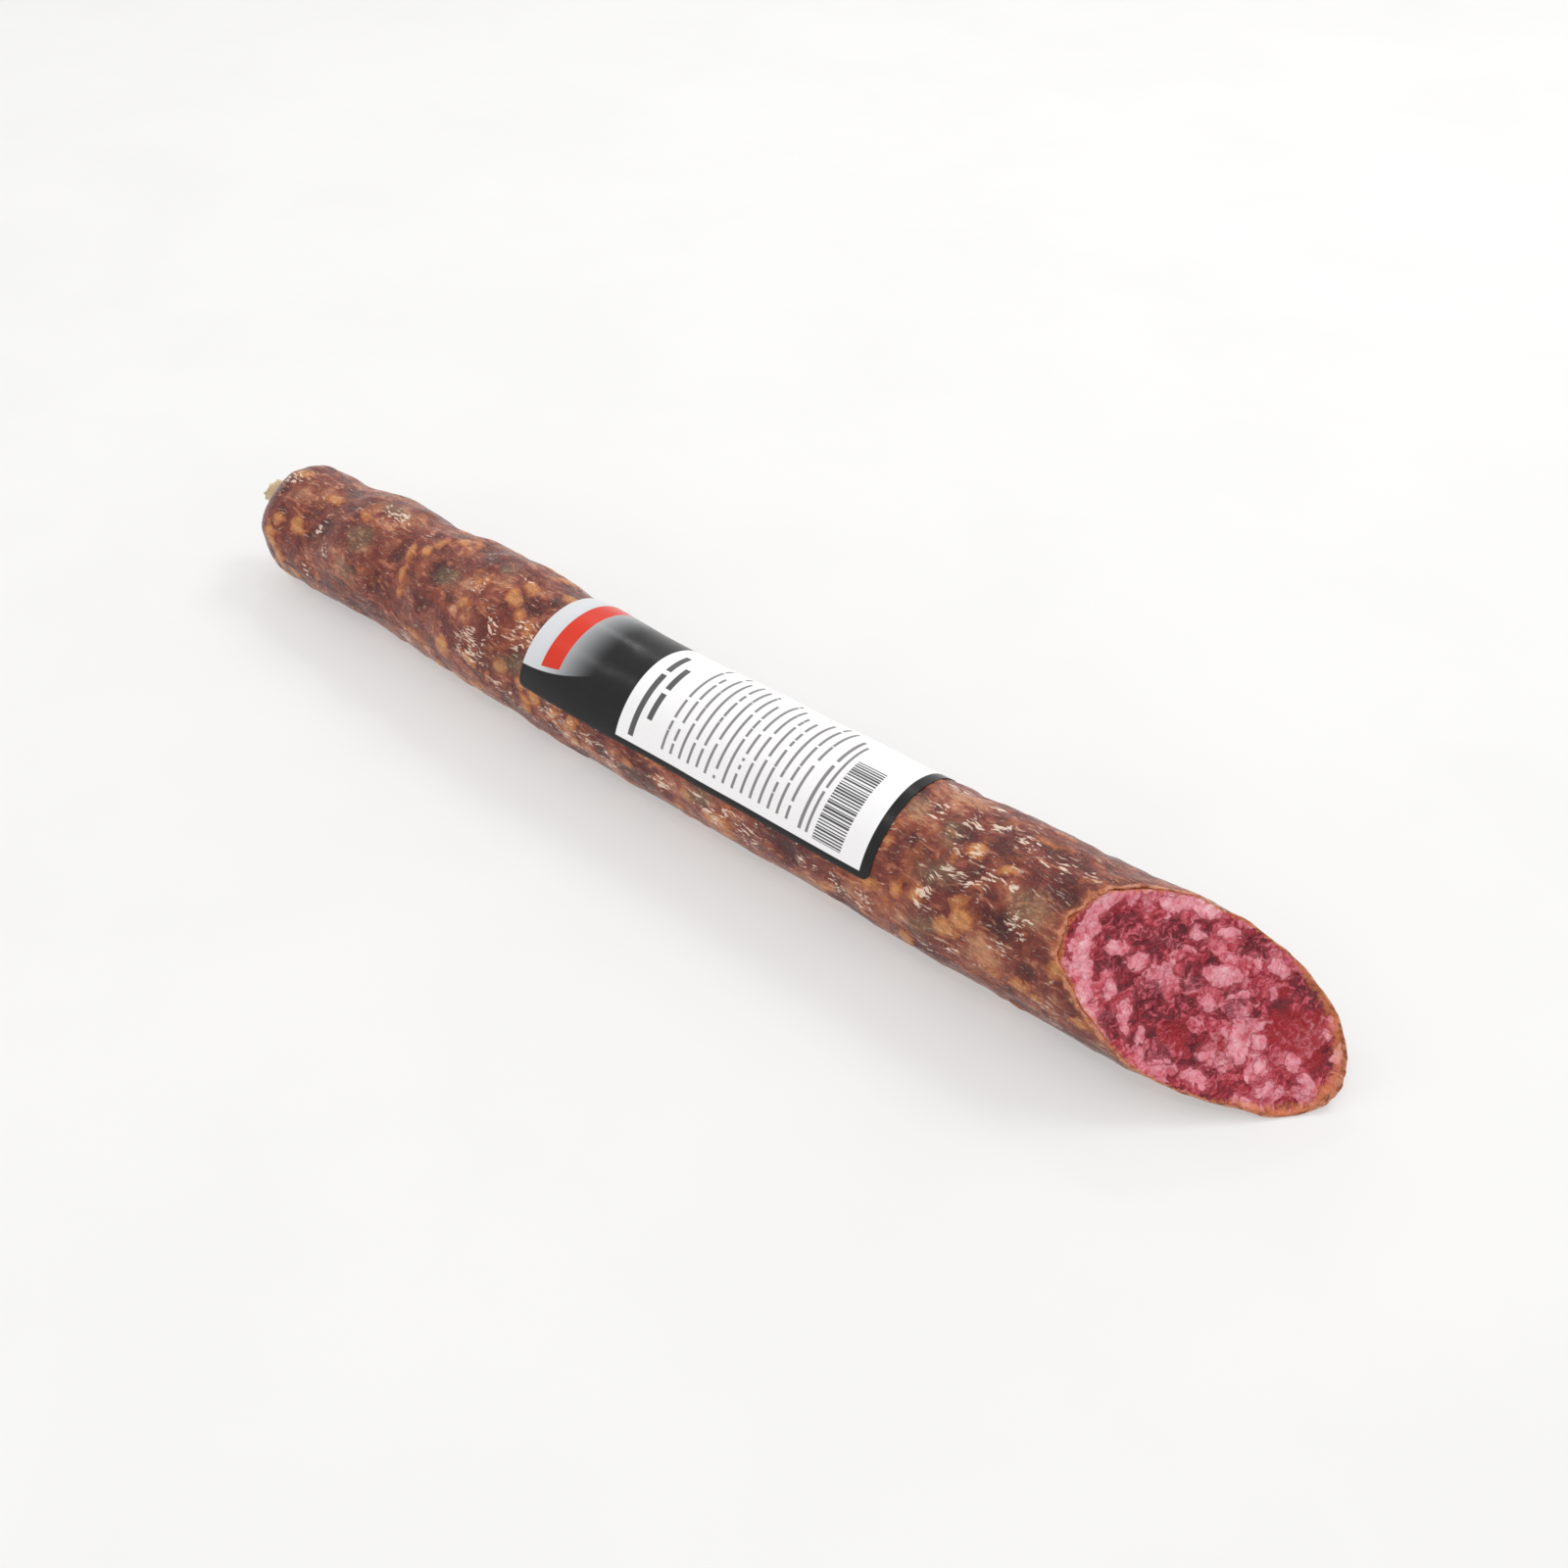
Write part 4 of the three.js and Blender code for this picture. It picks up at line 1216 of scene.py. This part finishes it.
def label_finish():
    """The panel and its border, the header with its band, then rules, blocks and bars."""
    print_work = Finish("printed_label")
    uv = print_work.node("ShaderNodeUVMap", {"uv_map": "label_map"})
    lengthwise = print_work.node("ShaderNodeSeparateXYZ", {}, {0: uv}, "X") * LABEL_LENGTH
    across = print_work.node("ShaderNodeSeparateXYZ", {}, {0: uv}, "Y") * LABEL_WIDTH

    def between(value, low, high, blur=PRINT_BLUR):
        """1 from low to high and 0 outside, with blurred ends."""
        return value.eased(low - blur, low + blur) * value.eased(high + blur, high - blur)

    def box(x0, x1, y0, y1):
        """1 inside a rectangle."""
        return between(lengthwise, x0, x1) * between(across, y0, y1)

    def either(mark, *others):
        """1 inside any of the marks."""
        for other in others:
            mark = mark + other
        return mark.least(1)

    paper = box(HEADER_END, PANEL_END, FRONT_BORDER, LABEL_WIDTH - BACK_BORDER)
    colour = print_work.mixed(INK_BLACK, PAPER_WHITE, paper)

    curve = across - 6.6 - (lengthwise * lengthwise) * 0.012
    silver = curve.eased(-0.15, 0.15) * lengthwise.eased(24, 3) * lengthwise.eased(27, 26)
    colour = print_work.mixed(colour, SILVER, silver)
    colour = print_work.mixed(colour, BAND_RED, between(lengthwise, 6.5, 12.5) * curve.eased(1.2, 1.5))

    row = (lengthwise - TEXT_START) / LINE_SPACING
    line = row.whole()
    on_line = between(row.fraction(), 0.36, 0.64, 0.06) * between(lengthwise, TEXT_START, TEXT_END)
    line_end = LINE_LENGTH - line.hashed(12.9898, 43758.5) * LINE_SHORTENING
    word_place = {0: line * 7.3, 1: across * 0.42, 2: 0.0}
    word = print_work.noise(print_work.node("ShaderNodeCombineXYZ", {}, word_place), 1, 1, 0.5)
    words = word.eased(0.36, 0.39)
    text = on_line * words * between(across, 4.5, 44) * (line_end - across).eased(-0.2, 0.2)
    headings = either(box(39.8, 41.6, 3.6, 23), box(39.8, 41.6, 24.5, 33))
    headings = either(headings, box(43.8, 45.6, 10, 18), box(43.8, 45.6, 19.5, 28))
    notes = either(box(96.5, 97.5, 4, 22), box(96.5, 97.5, 23.5, 35))
    notes = either(notes, box(98.8, 99.6, 4, 15), box(98.8, 99.6, 16, 33))
    colour = print_work.mixed(colour, INK_GREY, either(text, notes) * 0.85)
    colour = print_work.mixed(colour, INK_BLACK, headings * 0.9)

    bar_row = across * BARS_PER_MM
    bar_width = 0.30 + bar_row.whole().hashed(78.233, 9753.1) * 0.5
    bars = (bar_width - bar_row.fraction()).eased(-0.06, 0.06) * box(101.2, 109.8, 3.4, 26.5)
    colour = print_work.mixed(colour, INK_BLACK, bars * 0.92)

    mottle = print_work.noise(print_work.place(), 1.3, 3)
    colour = print_work.mixed(colour, INK_GREY, mottle.eased(0.5, 0.7) * 0.025)
    height = print_work.noise(print_work.place(), 5, 1) * 0.05
    roughness = 0.24 + mottle * 0.08 + paper * 0.14
    print_work.surface(label, base_color=colour, roughness=roughness,
                       normal=print_work.bump(height), specular_ior_level=0.30)
    return print_work


label_look = label_finish()
print("label nodes", len(label_look.tree.nodes))

# %% [markdown]
# ## The finish of the twine
#
# Natural cotton is off-white, a little stained by the meat it hangs with, and fully matt.
# Fine noise stretched along the ply gives single fibres.

# %% Twine
COTTON_LIGHT, COTTON_STAINED = paint(232, 216, 180), paint(186, 152, 104)


def twine_finish():
    """Pale cotton with fibres along the ply and a brown stain."""
    cotton = Finish("cotton_twine")
    place = cotton.place()
    fibre = cotton.noise(cotton.scaled(place, (1, 3, 1)), 0.18, 3)
    stain = cotton.noise(place, 1.8, 3)
    tone = stain * 0.6 + fibre * 0.4
    colour = cotton.ramp(tone, ((0.38, COTTON_STAINED), (0.56, COTTON_LIGHT)))
    roughness = 0.78 + fibre * 0.15
    cotton.surface(twine, base_color=colour, roughness=roughness, normal=cotton.bump(fibre * 0.10))
    return cotton


twine_look = twine_finish()
print("twine nodes", len(twine_look.tree.nodes))

# %% [markdown]
# ## Joining the pieces to the frame
#
# Each piece rides on the one body and hides the imported solid that it stands for.

# %% Ride and replace
for piece, node, slot in (
    (casing, "casing", "casing"), (meat, "meat", "meat"),
    (label, "label", "label"), (twine, "tie_twine", "twine"),
):
    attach(piece, "root")
    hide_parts(node)
    print(piece.name, "stands for", node)

# %% [markdown]
# ## Floor and light
#
# A pale, nearly white table fills the view. It glows a little, as a lit product table does, so
# its shadows stay light. One big soft light hangs above and behind, so the shadow is short and
# falls to the front, and the world fills the rest. Three small lamps add little light: they are
# there for their reflections, which are the wet glints on the meat and on the wrinkled skin.

# %% Floor, lights and world
FLOOR_HALF = 3.0
FLOOR_PAINT, FLOOR_WORN = paint(188, 188, 188), paint(185, 185, 185)
FLOOR_GLOW = 0.38


def add_floor():
    """One flat square, with a trace of mottling in its paint."""
    corners = [(-FLOOR_HALF, -FLOOR_HALF, 0), (FLOOR_HALF, -FLOOR_HALF, 0),
               (FLOOR_HALF, FLOOR_HALF, 0), (-FLOOR_HALF, FLOOR_HALF, 0)]
    floor = add_mesh("floor", np.array(corners) / MM, [(0, 1, 2, 3)])
    board = Finish("pale_board")
    cloud = board.noise(board.place(), 90, 3)
    colour = board.mixed(FLOOR_PAINT, FLOOR_WORN, cloud.eased(0.35, 0.7))
    board.surface(floor, base_color=colour, roughness=0.75 + cloud * 0.1, specular_ior_level=0.2,
                  emission_color=(1.0, 0.995, 0.985, 1.0), emission_strength=FLOOR_GLOW)
    return floor


def add_soft_light(name, place, size, power):
    """A square area light that looks at the middle of the sausage."""
    data = bpy.data.lights.new(name, "AREA")
    data.shape, data.size, data.energy = "SQUARE", size, power
    lamp = bpy.data.objects.new(name, data)
    lamp.location = place
    towards = Vector((0, 0, 0.02)) - Vector(place)
    lamp.rotation_euler = towards.to_track_quat("-Z", "Y").to_euler()
    bpy.context.scene.collection.objects.link(lamp)


def add_world(strength):
    """Even white light from all round."""
    world = bpy.data.worlds.new("studio")
    world.use_nodes = True
    background = world.node_tree.nodes["Background"]
    background.inputs["Color"].default_value = (1.0, 0.995, 0.985, 1)
    background.inputs["Strength"].default_value = strength
    bpy.context.scene.world = world


floor = add_floor()
add_soft_light("key", (0.20, 0.75, 0.95), 0.40, 3.6)
add_soft_light("back_glint", (-0.55, 0.60, 0.78), 0.06, 0.60)
add_soft_light("front_glint", (-0.52, -0.30, 0.90), 0.06, 0.40)
add_soft_light("face_glint", (0.12, -0.50, 0.95), 0.06, 0.70)
add_world(0.86)
bpy.context.scene.view_settings.view_transform = "Standard"
print("floor and lights are in place")

# %% Update the scene
bpy.context.view_layer.update()
